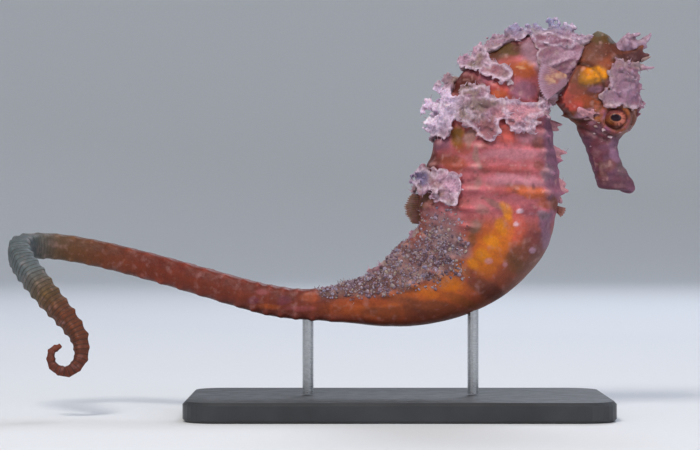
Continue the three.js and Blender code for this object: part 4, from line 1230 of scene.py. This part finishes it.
def brushed_rod():
    """Stainless rod, turned and brushed: bright metal with fine lines round it.
    The lines are 0.02 mm apart on a real rod and drawn at 0.1 mm, so that they show."""
    m, tree = new_material("brushed_stainless_rod")
    where = add(tree, "TexCoord", out="Object")
    along = add(tree, "Mapping", {"Vector": where, "Scale": (400.0, 400.0, 1 / (0.11 * MM))})
    lines = add(tree, "TexNoise", {"Vector": along, "Scale": 1.0, "Detail": 2.0})
    patches = {"Value": lines, "From Min": 0.3, "From Max": 0.7, "To Min": 0.22, "To Max": 0.4}
    ends = {0: lines, 6: shade_of("#A9ABAE"), 7: shade_of("#C9CBCD")}
    look = {
        "Base Color": add(tree, "Mix", ends, out=2, data_type="RGBA"),
        "Metallic": 1.0,
        "Roughness": add(tree, "MapRange", patches),
        "Normal": add(tree, "Bump", {"Height": lines, "Strength": 0.15, "Distance": 0.02 * MM}),
    }
    return coated(m, look)


def paper_floor():
    """Seamless studio paper: matt and pale, so that nothing but the model draws the eye."""
    m, tree = new_material("matt_studio_paper")
    tint = stained(tree, shade_of("#DDE1E5"), 1.5, 0.0, 1.0, 1.0, "#E3E6EA")
    return coated(m, {"Base Color": tint, "Roughness": 0.9, "IOR": 1.4})


# ---------- growth ----------


def ico_ball(rounds):
    """Points and faces of a unit ball of 20, 80 or more triangles."""
    ball = bmesh.new()
    bmesh.ops.create_icosphere(ball, subdivisions=rounds, radius=1.0)
    points = np.array([v.co[:] for v in ball.verts])
    faces = [[v.index for v in f.verts] for f in ball.faces]
    ball.free()
    return points, faces


GROWTH_SKIN = soft_growth()


def mat_part(skin, head_share, name, rng):
    """One mat as a closed pad: the skin under it, lifted and ruffled towards its edge."""
    where, depth, _, _ = MATS[name]
    points, normals = points_of(skin.data), normals_of(skin.data)
    field = mat_field(points, name)
    on_head = head_share > 0.5
    field = np.where(on_head if where == "head" else ~on_head, field, -5)
    corners, starts = corners_of(skin.data)
    faces = [f for f in np.split(corners, starts[1:]) if field[f].min() > 0]
    used = np.unique(np.concatenate(faces))
    index = np.full(len(points), -1)
    index[used] = np.arange(len(used))
    faces = [index[f].tolist() for f in faces]
    points, normals, field = points[used], normals[used], field[used]
    slope = np.zeros((len(points), 3))
    for k, axis in enumerate(np.eye(3)):
        slope[:, k] = mat_field(points + axis * 0.25, name) - mat_field(points - axis * 0.25, name)
    outward = -unit(slope - normals * dot(slope, normals)[:, None])
    lip = hump(field, 0.3, 0.4)
    folds = 1 - 2.2 * np.abs(noise(points, 1.7, 72, 2))
    low = 0.55 if depth < 0.45 else 1.0
    waves = np.cos(field * 6.0 + 3.0 * noise(points, 2.6, 75, 2)) * smooth(field, 0.3, 0.8)
    ripple = (0.26 if where == "head" else 0.16) * waves
    lift = depth * (0.5 + 0.7 * folds) + ripple + low * lip * (0.5 + 0.9 * noise(points, 1.3, 71, 2))
    flare = lip * (0.7 + 0.8 * noise(points, 1.0, 73, 2))
    top = points + normals * np.maximum(lift, 0.15)[:, None] + outward * flare[:, None]
    edge_band = np.flatnonzero((field < 0.7) & (depth > 0.4))
    inner = np.flatnonzero((field > 0.6) & (depth > 0.4))
    blobs = knob_parts(
        rng, top, normals, outward, edge_band, share=0.075, smallest=0.26, largest=0.50, reach=0.45
    )
    blobs += knob_parts(
        rng, top, normals, outward, inner, share=0.040, smallest=0.28, largest=0.56, reach=0.0
    )
    bottom = points - normals * 0.4
    count = len(points)
    solid = faces + [[i + count for i in reversed(f)] for f in faces]
    seen = {}
    for f in faces:
        for a, b in zip(f, f[1:] + f[:1]):
            if (b, a) in seen:
                del seen[(b, a)]
            else:
                seen[(a, b)] = True
    solid += [[b, a, a + count, b + count] for a, b in seen]
    return [(np.vstack([top, bottom]), solid)] + blobs


def knob_parts(rng, top, normals, outward, chosen, share, smallest, largest, reach):
    """Soft knobs standing on a mat, a share of its points each carrying one."""
    points, faces = ico_ball(2)
    picked = rng.choice(chosen, int(len(chosen) * share), replace=False) if len(chosen) else []
    parts = []
    for i in picked:
        size = rng.uniform(smallest, largest)
        at = top[i] + normals[i] * rng.uniform(-0.3, 0.7) * size + outward[i] * rng.uniform(0, reach)
        parts.append((points * size * rng.uniform(0.75, 1.2, 3) + at, faces))
    return parts


def lump_parts(rng, root, way, length, breadth, across):
    """A lobe as a loose spray of soft lumps, widest in its middle."""
    points, faces = ico_ball(2)
    parts = []
    count = max(8, int(length * breadth * 3.4))
    for _ in range(count):
        t = rng.uniform(0.0, 1.0)
        width = breadth * 0.5 * math.sin(math.pi * (0.3 + 0.5 * t))
        at = root + way * length * t + across * rng.uniform(-1, 1) * width
        at = at + np.cross(way, across) * rng.uniform(-0.9, 0.9) * (1 - 0.5 * t)
        size = lerp(0.76, 0.36, t) * rng.uniform(0.7, 1.2)
        squash = np.array([rng.uniform(0.8, 1.2), rng.uniform(0.7, 1.1), rng.uniform(0.7, 1.2)])
        parts.append((points * size * squash + at, faces))
    return parts


def bead_line(start, end, thick, thin):
    """A tapering row of overlapping balls."""
    points, faces = ico_ball(2)
    steps = max(4, int(np.linalg.norm(end - start) / (0.5 * thin)))
    return [
        (points * lerp(thick, thin, t) + lerp(start, end, t), faces) for t in np.linspace(0, 1, steps)
    ]


def nearness(skin):
    """The skin as a tree that rays and nearest points are found with."""
    return BVHTree.FromObject(skin, bpy.context.evaluated_depsgraph_get())


def on_skin(tree, x, y, side):
    """The skin's point and the way out of it at a drawn spot on one side, or None."""
    spot = drawn(x, y)
    start = Vector((spot[0] * MM, side * 0.03, spot[1] * MM))
    hit, normal, _, _ = tree.ray_cast(start, Vector((0, -side, 0)))
    return None if hit is None else (np.array(hit) / MM, np.array(normal))


def cheek_flap_parts(skin):
    """Thin flaps that lie on both cheeks, as tapering rows of flattened balls."""
    tree = nearness(skin)
    points, faces = ico_ball(2)
    parts = []
    for x1, y1, x2, y2, thick, thin in CHEEK_FLAPS:
        for t in np.linspace(0, 1, 14):
            for side in (-1, 1):
                found = on_skin(tree, lerp(x1, x2, t), lerp(y1, y2, t), side)
                if found:
                    size = lerp(thick, thin, t)
                    at = found[0] + found[1] * (0.15 + 0.35 * t * t)
                    parts.append((points * size * np.array([1, 0.6, 0.8]) + at, faces))
    return parts


def wart_parts(skin, rows, rng):
    """Warts on both sides where the drawn spots meet the skin."""
    tree = nearness(skin)
    points, faces = ico_ball(2)
    parts = []
    for x, y, size in rows:
        for side in (-1, 1):
            found = on_skin(tree, x, y, side)
            if not found:
                continue
            at, out = found
            for k in range(4):
                reach = out * size * 0.32 * k + rng.normal(0, 0.22, 3) * size
                form = np.array([1.45, 0.8, 0.75]) * rng.uniform(0.75, 1.25, 3)
                parts.append((points * size * lerp(0.85, 0.4, k / 3) * form + at + reach, faces))
    return parts


def flap_parts(rows, sides):
    """Tapering threads or flaps drawn on the side view, on each of the given sides."""
    parts = []
    for x1, y1, x2, y2, thick, thin in rows:
        a, b = drawn(x1, y1), drawn(x2, y2)
        for side in sides:
            start, end = np.array([a[0], side * 1.0, a[1]]), np.array([b[0], side * 1.6, b[1]])
            parts += bead_line(start, end, thick, thin)
    return parts


def lobe_parts(rng, rows):
    """Each lobe as two sprays of lumps, one straight out and one leaning aside."""
    parts = []
    for place, angle, length, breadth in rows:
        at, out = surface_point(BODY, body_outline, place, angle)
        _, along, _, side, _, _ = BODY.frame(place)
        root, leaning = at - out * 0.3, unit(out + side[0] * 0.5)
        parts += lump_parts(rng, root, out, length + 0.5, breadth * 0.8, along[0])
        parts += lump_parts(rng, root, leaning, length * 0.7, breadth * 0.6, side[0])
    return parts


def make_growth(name, skin, head_share, mats, lobes, odd_parts):
    """Some mats and lobes melted into one soft lumpy piece."""
    rng = np.random.default_rng(len(mats))
    parts = [part for mat in mats for part in mat_part(skin, head_share, mat, rng)]
    parts += lobe_parts(rng, lobes) + odd_parts
    growth = remeshed(name, parts, GROWTH_VOXEL)
    mesh = growth.data
    edges = edges_of(mesh)
    points = relax(points_of(mesh), edges, 2)
    move_points(mesh, points)
    normals = normals_of(mesh)
    points = points + normals * (0.12 * noise(points, 0.8, 74, 2))[:, None]
    smooth_fan = smooth(mat_field(points, "fan"), 0.0, 0.6)
    points = points + normals * (0.22 * smooth_fan * fan_streaks(points, 2))[:, None]
    move_points(mesh, points)
    shade_smooth(mesh)
    normals = normals_of(mesh)
    proud = dot(points - relax(points, edges, 6), normals)
    hollow = dot(points - relax(points, edges, 30), normals)
    near = nearness(skin)
    found = [near.find_nearest(p * MM) for p in points]
    lifted = np.array([hit[3] / MM for hit in found])
    corners, starts = corners_of(skin.data)
    nearest = corners[starts[[hit[2] for hit in found]]]
    set_attribute(mesh, "skin_uv", vectors_of(skin.data, "skin_uv")[nearest])
    set_attribute(mesh, "fuzz", smooth(lifted, 0.5, 1.2))
    rim = np.full(len(points), 9.0)
    for mat in MATS:
        rim = np.minimum(rim, np.abs(mat_field(points, mat)))
    warm = smooth(noise(points, 2.2, 77, 2), -0.25, 0.35)
    colours = lerp(linear("#9A7282"), linear("#968472"), (warm * 0.7)[:, None])
    colours = washed(colours, "#84525A", smooth(noise(points, 1.7, 78, 2), 0.05, 0.45) * 0.6)
    # Painted light: growth standing further from the skin is painted lighter, as if less shaded.
    colours = washed(colours, "#B895AC", smooth(lifted, 0.6, 1.6) * 0.5)
    colours = paint(colours, points, GROWTH_MARKS, np.zeros(len(points)))
    # Painted reflection: a cool blue laid on the highest growth behind the head, as if it caught bluish
    # light from above.
    painted_blue_reflection = smooth(points[:, 2] + 1.5 * noise(points, 2.5, 79, 2), 74, 80)
    painted_blue_reflection = painted_blue_reflection * (1 - smooth(points[:, 0], 55, 58))
    colours = washed(colours, "#92A0CA", painted_blue_reflection * 0.8)
    rosy = smooth(stroke_field(points, ROSY_GROWTH), 0, 0.5)
    colours = washed(colours, "#C4858E", rosy * 0.8)
    large = [[x - 2, y, x + 2, y, size / STEP, size / STEP] for x, y, size in WARTS if size > 0.5]
    beads = stroke_field(points, large)
    colours = washed(colours, "bead_white_and_highlight", smooth(beads, -0.1, 0.3) * 0.4)
    fan = smooth(mat_field(points, "fan"), 0.0, 0.5) * smooth(np.abs(points[:, 1]), 1.5, 3.0)
    streaks = smooth(fan_streaks(points, 3), -0.4, 0.4)
    streaked = lerp(linear("#845468"), linear("#C4A0B4"), streaks[:, None])
    colours = lerp(colours, streaked, (fan * 0.85)[:, None])
    # Painted highlight on lifted rims and small crests, painted shade in the small and broad hollows, and
    # broad crests painted lighter; the palest strokes lighten as well.
    on_head = smooth(points[:, 0], 50.5, 53)
    pale = (1 - 0.6 * on_head) * 0.8 * hump(rim, 0, 0.35) * smooth(lifted, 0.2, 0.7)
    pale = np.maximum((1 - 0.3 * on_head) * smooth(proud, 0.04, 0.2), pale)
    colours = washed(colours, "#E8D2E4", pale * 0.85)
    colours = washed(colours, "#5C3846", smooth(proud, -0.04, -0.22) * 0.7)
    colours = washed(colours, "#54343E", smooth(hollow, -0.12, -0.7) * 0.55)
    palest = smooth(stroke_field(points, PALEST_GROWTH), 0, 1.5)
    colours = np.clip(colours * (1 + 0.25 * smooth(hollow, 0.1, 0.6) + 0.3 * palest)[:, None], 0, 0.92)
    set_tint(mesh, colours)
    dress(mesh, GROWTH_SKIN)
    return growth


# ---------- scattered grains ----------


def scatter_tree(name, material, hairs=False):
    """Geometry Nodes that strew small grains or hairs over a surface, densest where its mask is 1."""
    tree = bpy.data.node_groups.new(name, "GeometryNodeTree")
    face = tree.interface
    face.new_socket("Surface", in_out="INPUT", socket_type="NodeSocketGeometry")
    for label, value in (("Grains per square mm", 1.0), ("Smallest", 0.1), ("Largest", 0.4)):
        face.new_socket(label, in_out="INPUT", socket_type="NodeSocketFloat").default_value = value
    face.new_socket("Seed", in_out="INPUT", socket_type="NodeSocketInt")
    face.new_socket("Mask", in_out="INPUT", socket_type="NodeSocketString").default_value = "crust"
    face.new_socket("Grains", in_out="OUTPUT", socket_type="NodeSocketGeometry")

    given = add(tree, "NodeGroupInput").node.outputs
    mask = add(tree, "GeometryNodeInputNamedAttribute", {"Name": given["Mask"]}, data_type="FLOAT")
    per_metre = add(tree, "Math", {0: given["Grains per square mm"], 1: 1 / MM**2}, operation="MULTIPLY")
    density = add(tree, "Math", {0: per_metre, 1: mask}, operation="MULTIPLY")
    spots = {"Mesh": given["Surface"], "Density": density, "Seed": given["Seed"]}
    points = add(tree, "GeometryNodeDistributePointsOnFaces", spots, out="Points")
    facing = points.node.outputs["Rotation"]
    shade = add(tree, "FunctionNodeRandomValue", {"Seed": 11}, out=1, data_type="FLOAT")
    marked = {"Geometry": points, "Name": "shade", "Value": shade}
    points = add(tree, "GeometryNodeStoreNamedAttribute", marked, data_type="FLOAT", domain="POINT")
    if hairs:
        form = {"Vertices": 4, "Side Segments": 2, "Depth": 4 * MM}
        form |= {"Radius Top": 0.1 * MM, "Radius Bottom": 0.32 * MM}
        bit = add(tree, "GeometryNodeMeshCone", form)
    else:
        bit = add(tree, "GeometryNodeMeshIcoSphere", {"Radius": MM, "Subdivisions": 1})
    local = {"Geometry": bit, "Name": "local", "Value": add(tree, "GeometryNodeInputPosition")}
    bit = add(tree, "GeometryNodeStoreNamedAttribute", local, data_type="FLOAT_VECTOR", domain="POINT")
    sizes = {2: given["Smallest"], 3: given["Largest"], "Seed": 12}
    size = add(tree, "FunctionNodeRandomValue", sizes, out=1, data_type="FLOAT")
    squash = {0: (0.6, 0.6, 0.5), 1: (1.3, 1.2, 1.0), "Seed": 13}
    squash = add(tree, "FunctionNodeRandomValue", squash, data_type="FLOAT_VECTOR")
    scale = add(tree, "VectorMath", {0: squash, 3: size}, operation="SCALE")
    swing = 0.7 if hairs else math.pi
    spin = {0: (-swing,) * 3, 1: (swing,) * 3, "Seed": 14}
    spin = add(tree, "FunctionNodeRandomValue", spin, data_type="FLOAT_VECTOR")
    turned = {"Rotation": facing, "Rotate By": spin}
    turned = add(tree, "FunctionNodeRotateRotation", turned, rotation_space="LOCAL")
    strewn = {"Points": points, "Instance": bit, "Rotation": turned, "Scale": scale}
    grains = add(tree, "GeometryNodeInstanceOnPoints", strewn)
    real = add(tree, "GeometryNodeRealizeInstances", {"Geometry": grains})
    coat = add(tree, "GeometryNodeSetMaterial", {"Geometry": real, "Material": material})
    add(tree, "NodeGroupOutput", {"Grains": coat})
    return tree


def strewn_grains(name, skin, tree, values):
    """Grains on the skin as a plain mesh, each with its patch of the skin's unwrap."""
    carrier = placed(name + "_carrier", skin.data)
    modifier = carrier.modifiers.new("strew", "NODES")
    modifier.node_group = tree
    sockets = {s.name: s.identifier for s in tree.interface.items_tree if s.in_out == "INPUT"}
    for label, value in values.items():
        modifier[sockets[label]] = value
    made = plain_copy(name, carrier)
    patch_map(made.data)
    return made


def vectors_of(mesh, name):
    return read(mesh.attributes[name].data, "vector", 3)


def patch_map(mesh):
    """The OFBake map: each grain has a small patch at its root's place on the skin's unwrap."""
    at = vectors_of(mesh, "skin_uv")[:, :2] + vectors_of(mesh, "local")[:, :2] / MM * PATCH_SIZE / 2
    corners, _ = corners_of(mesh)
    layer = mesh.uv_layers.new(name="OFBake")
    layer.data.foreach_set("uv", np.clip(at, 0.001, 0.999)[corners].astype(np.float32).ravel())
    for name in ("local", "skin_uv", "tint", "arc", "annuli", "sheen_mask", "crust", "fuzz"):
        if name in mesh.attributes:
            mesh.attributes.remove(mesh.attributes[name])


# ---------- eyes ----------


def make_eye(side):
    """A ball with a dark oval pupil, a thin bright rim and a streaked iris."""
    out = np.linspace(0, math.pi, 56)
    turn = np.linspace(0, 2 * math.pi, 96, endpoint=False)
    grid_out, grid_turn = (a.ravel() for a in np.meshgrid(out[1:-1], turn, indexing="ij"))
    grid_out, grid_turn = np.append(grid_out, [0.0, math.pi]), np.append(grid_turn, [0.0, 0.0])
    x = np.sin(grid_out) * np.cos(grid_turn)
    z = np.sin(grid_out) * np.sin(grid_turn)
    y = np.cos(grid_out)
    pupil = np.hypot((x + 0.12 * z) / 0.38, z / 0.26)
    radius = EYE_RADIUS * (1 + 0.10 * smooth(np.hypot(x, z), 0.75, 0.2))
    points = np.column_stack([x, y * side, z]) * radius[:, None] + EYE_PLACE * np.array([1, side, 1])
    points, faces = tube(points[:-2].reshape(-1, len(turn), 3), points[-2], points[-1])
    if side < 0:
        faces = [f[::-1] for f in faces]
    eye = make_object("eye_ball_" + ("left" if side > 0 else "right"), points, faces)
    spokes = np.column_stack([np.cos(grid_turn) * 2.6, np.sin(grid_turn) * 2.6, pupil * 0.3])
    rays = noise(spokes, 0.5, 81, 3)
    blots = noise(np.column_stack([x, y, z]), 0.34, 84, 3)
    toward_snout = smooth(x + 0.35 * blots, -0.45, 0.4)[:, None]
    colours = lerp(linear("#80481E"), linear("#C06A5A"), toward_snout)
    colours = washed(colours, "#6E3A42", smooth(z - 0.4 * x + 0.35 * blots, 0.08, 0.4) * 0.85)
    colours = washed(colours, "#6A2E1E", smooth(rays + 0.8 * blots, 0.25, -0.35) * 0.8)
    colours = washed(colours, "#CC8468", smooth(rays + 0.4 * blots, 0.25, 0.7) * 0.45)
    colours = washed(colours, "#3E1A18", smooth(pupil + 0.3 * blots, 1.8, 2.6) * 0.85)
    colours = washed(colours, "#D09A70", hump(pupil, 1.22, 0.10) * 0.25 * (1 + blots))
    colours = washed(colours, "#1C0614", smooth(pupil, 1.12, 0.96))
    set_tint(eye.data, colours)
    shade_smooth(eye.data)
    return eye


# ---------- fins ----------


def rayed_sheet(name, edge, rays, thick, inks, ribbed):
    """A closed thin web with rays: edge(t) gives root and rim points for t from 0 to 1.
    The inks are for web, rays and rim; ribbed is how much thinner the web is than its rays."""
    across, along = rays * 6 + 1, 22
    t = np.linspace(0, 1, across)
    s = np.linspace(0, 1, along)
    root, rim, normal = edge(t)
    ray = 0.5 + 0.5 * np.cos(t * rays * 2 * math.pi)
    points, colours = [], []
    for sign in (1, -1):
        for k in s:
            between = lerp(root, rim, k * (1 - 0.06 * (1 - ray))[:, None])
            cup = 0.25 * math.sin(math.pi * k) * np.sin(math.pi * t)
            half = thick * (1 - ribbed + ribbed * ray) * lerp(1.0, 0.45, k)
            points.append(between + normal * (cup + sign * half)[:, None])
            ink = lerp(linear(inks[0]), linear(inks[1]), ray[:, None])
            colours.append(lerp(ink, linear(inks[2]), smooth(k, 0.75, 1.0)))
    points, colours = np.vstack(points), np.vstack(colours)
    size = across * along
    faces = []
    for i in range(along - 1):
        for k in range(across - 1):
            a = i * across + k
            quad = [a, a + 1, a + across + 1, a + across]
            faces += [quad, [q + size for q in reversed(quad)]]
    rim_walk = [i * across for i in range(along)] + [(along - 1) * across + k for k in range(1, across)]
    rim_walk += [i * across + across - 1 for i in range(along - 2, -1, -1)] + list(range(across - 2, 0, -1))
    for a, b in zip(rim_walk, rim_walk[1:] + rim_walk[:1]):
        faces.append([a, b, b + size, a + size])
    fin = make_object(name, points, faces)
    set_tint(fin.data, colours)
    face_out(fin.data)
    shade_smooth(fin.data)
    fin.data.materials.append(fin_web())
    return fin


def face_out(mesh):
    form = bmesh.new()
    form.from_mesh(mesh)
    bmesh.ops.recalc_face_normals(form, faces=form.faces)
    form.to_mesh(mesh)
    form.free()
    mesh.update()


def warm_root(mesh):
    """Orange and cream streaks across the middle of the fan."""
    points = points_of(mesh)
    off = -stroke_field(points, FAN_ROOT)
    colours = read(mesh.attributes["tint"].data, "color", 4)[:, :3].astype(float)
    streaks = smooth(noise(points, 1.1, 95, 3), -0.2, 0.4)[:, None]
    warm = lerp(linear("#9A5240"), linear("#D0A47C"), streaks)
    cover = smooth(off + 0.9 * noise(points, 1.4, 96, 2), 1.8, 0.4) * 0.8
    colours = lerp(colours, warm, cover[:, None])
    set_tint(mesh, colours)


def pectoral_fin(side):
    root_place = np.array([47.3, 5.4, 66.8])

    def edge(t):
        turn = math.pi + 0.12 - lerp(-0.68, 0.68, t)
        way = np.column_stack([np.cos(turn), np.full(len(t), 0.22), np.sin(turn)])
        foot = root_place + np.column_stack([np.zeros(len(t)), np.zeros(len(t)), lerp(-0.9, 0.9, t)])
        rim = root_place + way * 5.9
        flip = np.array([1, side, 1])
        normal = np.tile(unit(np.array([0.25, 1.0, 0.0])) * flip, (len(t), 1))
        return foot * flip, rim * flip, normal

    name = "pectoral_fan_" + ("left" if side > 0 else "right")
    fin = rayed_sheet(name, edge, rays=15, thick=0.14, inks=("#8C6674", "#9C7888", "#AC8CA0"), ribbed=0.3)
    warm_root(fin.data)
    return finish_piece(fin, "fin", "pectoral_fin_" + ("left" if side > 0 else "right"))


def dorsal_fin():
    def edge(t):
        place = lerp(10.35, 12.2, t)
        middle, _, up, _, height, _ = BODY.frame(place)
        rise = 2.3 * np.sin(math.pi * (0.06 + 0.88 * t)) ** 0.6
        ragged = 1 + 0.08 * np.cos(t * 16 * 2 * math.pi) + 0.06 * np.sin(t * 21)
        normal = np.tile([0.0, -1.0, 0.0], (len(t), 1))
        root, rim = height - 0.8, height + rise * ragged
        return middle + up * root[:, None], middle + up * rim[:, None], normal

    inks = ("#38241A", "#5A3C26", "#6A5040")
    fin = rayed_sheet("dorsal_fan", edge, rays=16, thick=0.13, inks=inks, ribbed=0.3)
    return finish_piece(fin, "fin", "dorsal_fin")


def anal_fin():
    def edge(t):
        turn = -0.5 + lerp(-0.5, 0.5, t)
        none = np.zeros(len(t))
        root = np.array([44.9, 0.0, 41.7]) + np.column_stack([none, none, lerp(-0.4, 0.4, t)])
        rim = np.array([45.4, 0.0, 41.4]) + np.column_stack([np.cos(turn), none, np.sin(turn)]) * 2.2
        return root, rim, np.tile([0.0, -1.0, 0.0], (len(t), 1))

    inks = ("#4A2620", "#6E4036", "#7A5048")
    fin = rayed_sheet("anal_fan", edge, rays=4, thick=0.12, inks=inks, ribbed=0.5)
    return finish_piece(fin, "fin", "anal_fin")


# ---------- frond and wisps ----------


def coronet_frond():
    """The pale lobed frond over the crown, with two curled tips."""
    rng = np.random.default_rng(9)
    points, faces = ico_ball(2)
    parts = []
    paths = [
        [(612, 51, 1.0), (622, 47, 1.3), (632, 45, 1.25), (642, 43, 0.9), (648, 38, 0.55), (651, 33, 0.26)],
        [(622, 47, 1.1), (625, 39, 0.75), (629, 33, 0.32)],
        [(626, 40, 0.75), (633, 36, 0.55), (640, 34, 0.32)],
        [(616, 53, 0.8), (627, 51, 0.75), (638, 49, 0.7), (647, 46, 0.36)],
    ]
    for path in paths:
        line = np.array([[*drawn(x, y), r] for x, y, r in path])
        for t in np.arange(0, len(line) - 0.99, 0.16):
            x, z, r = curve(line, np.array([t]))[0]
            for side in (-1, 0, 1):
                spot = np.array([x, side * r * 0.9, z]) + rng.normal(0, 0.16, 3) * r
                size = r * (0.8 if side else 1.0)
                parts.append((points * size * rng.uniform(0.75, 1.1, 3) + spot, faces))
    frond = remeshed("coronet_frond_lobes", parts, FROND_VOXEL)
    mesh = frond.data
    edges = edges_of(mesh)
    points = relax(points_of(mesh), edges, 2)
    move_points(mesh, points)
    points = points + normals_of(mesh) * (0.22 * noise(points, 1.1, 91, 2) - 0.06)[:, None]
    move_points(mesh, points)
    shade_smooth(mesh)
    proud = dot(points - relax(points, edges, 6), normals_of(mesh))
    # Painted shade in the frond's hollows and painted highlight on its crests.
    colours = lerp(linear("#6E4C60"), linear("#C8AABF"), smooth(proud, -0.14, 0.16)[:, None])
    set_tint(mesh, colours)
    dress(mesh, GROWTH_SKIN)
    return finish_piece(frond, "growth", "coronet_frond")


# ---------- stage ----------


def make_floor():
    """A wide round sweep of studio paper, so that no horizon shows from any side."""
    turns = np.arange(12, -1, -1) / 12 * math.pi / 2
    flat, bend, top = 1.2, 0.5, 1.7  # m
    sweep = [(flat + bend * math.sin(a), bend - bend * math.cos(a)) for a in turns]
    profile = [(flat + bend, top), *sweep, (1.0, 0.0)]
    ring = hoop([1.0, 0.0, 0.0], [0.0, 1.0, 0.0], 64)
    rings = [(ring * radius + [0.0, 0.0, height]) / MM for radius, height in profile]
    floor = make_object("studio_floor", *tube(rings, last=np.zeros(3)))
    floor.data.materials.append(paper_floor())
    shade_smooth(floor.data)


def finish_stand():
    """The stand keeps its CAD shapes and takes its finishes."""
    dress(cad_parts["stand_base"].data, powder_coat())
    rod = brushed_rod()
    for name in ("stand_rod_front", "stand_rod_rear"):
        dress(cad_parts[name].data, rod)


# ---------- making it ----------

make_camera()
make_lights()
make_floor()
finish_stand()

skin, head_share = make_skin()
dress(skin.data, fish_skin())
flesh = ["head", "snout", "gill_cover_left", "gill_cover_right", "coronet", "neck", "trunk_upper"]
flesh += ["trunk_middle", "trunk_lower", "brood_pouch", "tail_tip"] + [f"tail_{i}" for i in range(1, 11)]
finish_piece(skin, "skin_trunk", *flesh)
rng = np.random.default_rng(7)
upper = [row for row in BACK_LOBES if row[0] < 4.7]
lower = [row for row in BACK_LOBES if row[0] > 4.7]
odd = wart_parts(skin, WARTS, rng) + cheek_flap_parts(skin) + flap_parts(WISPS, (-1, 1))
growths = [
    make_growth("head_growth", skin, head_share, ["forehead"], [], odd),
    make_growth("neck_growth", skin, head_share, ["neck_top", "fan", "shoulder", "throat"], upper, []),
    make_growth("trunk_growth", skin, head_share, ["collar", "tuft"], lower, flap_parts(BELLY_FLAPS, (0,))),
]
grit = crust_grains()
grains = scatter_tree("strewn_grains", grit)
for name, values in {
    "crust_grains": {"Grains per square mm": 4.8, "Smallest": 0.10, "Largest": 0.34, "Seed": 3},
    "crust_clumps": {"Grains per square mm": 0.60, "Smallest": 0.30, "Largest": 0.56, "Seed": 8},
}.items():
    finish_piece(strewn_grains(name, skin, grains, values), "growth")
hairs = scatter_tree("strewn_hairs", grit, hairs=True)
values = {"Grains per square mm": 2.6, "Smallest": 0.10, "Largest": 0.26, "Seed": 5}
finish_piece(strewn_grains("crust_hairs", skin, hairs, values), "growth")
down = scatter_tree("growth_fuzz", soft_down(), hairs=True)
for growth in growths:
    values = {"Grains per square mm": 0.8, "Smallest": 0.12, "Largest": 0.32, "Seed": 6, "Mask": "fuzz"}
    finish_piece(strewn_grains(growth.name + "_down", growth, down, values), "growth")
    finish_piece(growth, "growth")
eye_finish = glass_eye()
for side, node in ((1, "eye_left"), (-1, "eye_right")):
    ball = make_eye(side)
    ball.data.materials.append(eye_finish)
    finish_piece(ball, "eye", node)
    pectoral_fin(side)
dorsal_fin()
anal_fin()
coronet_frond()
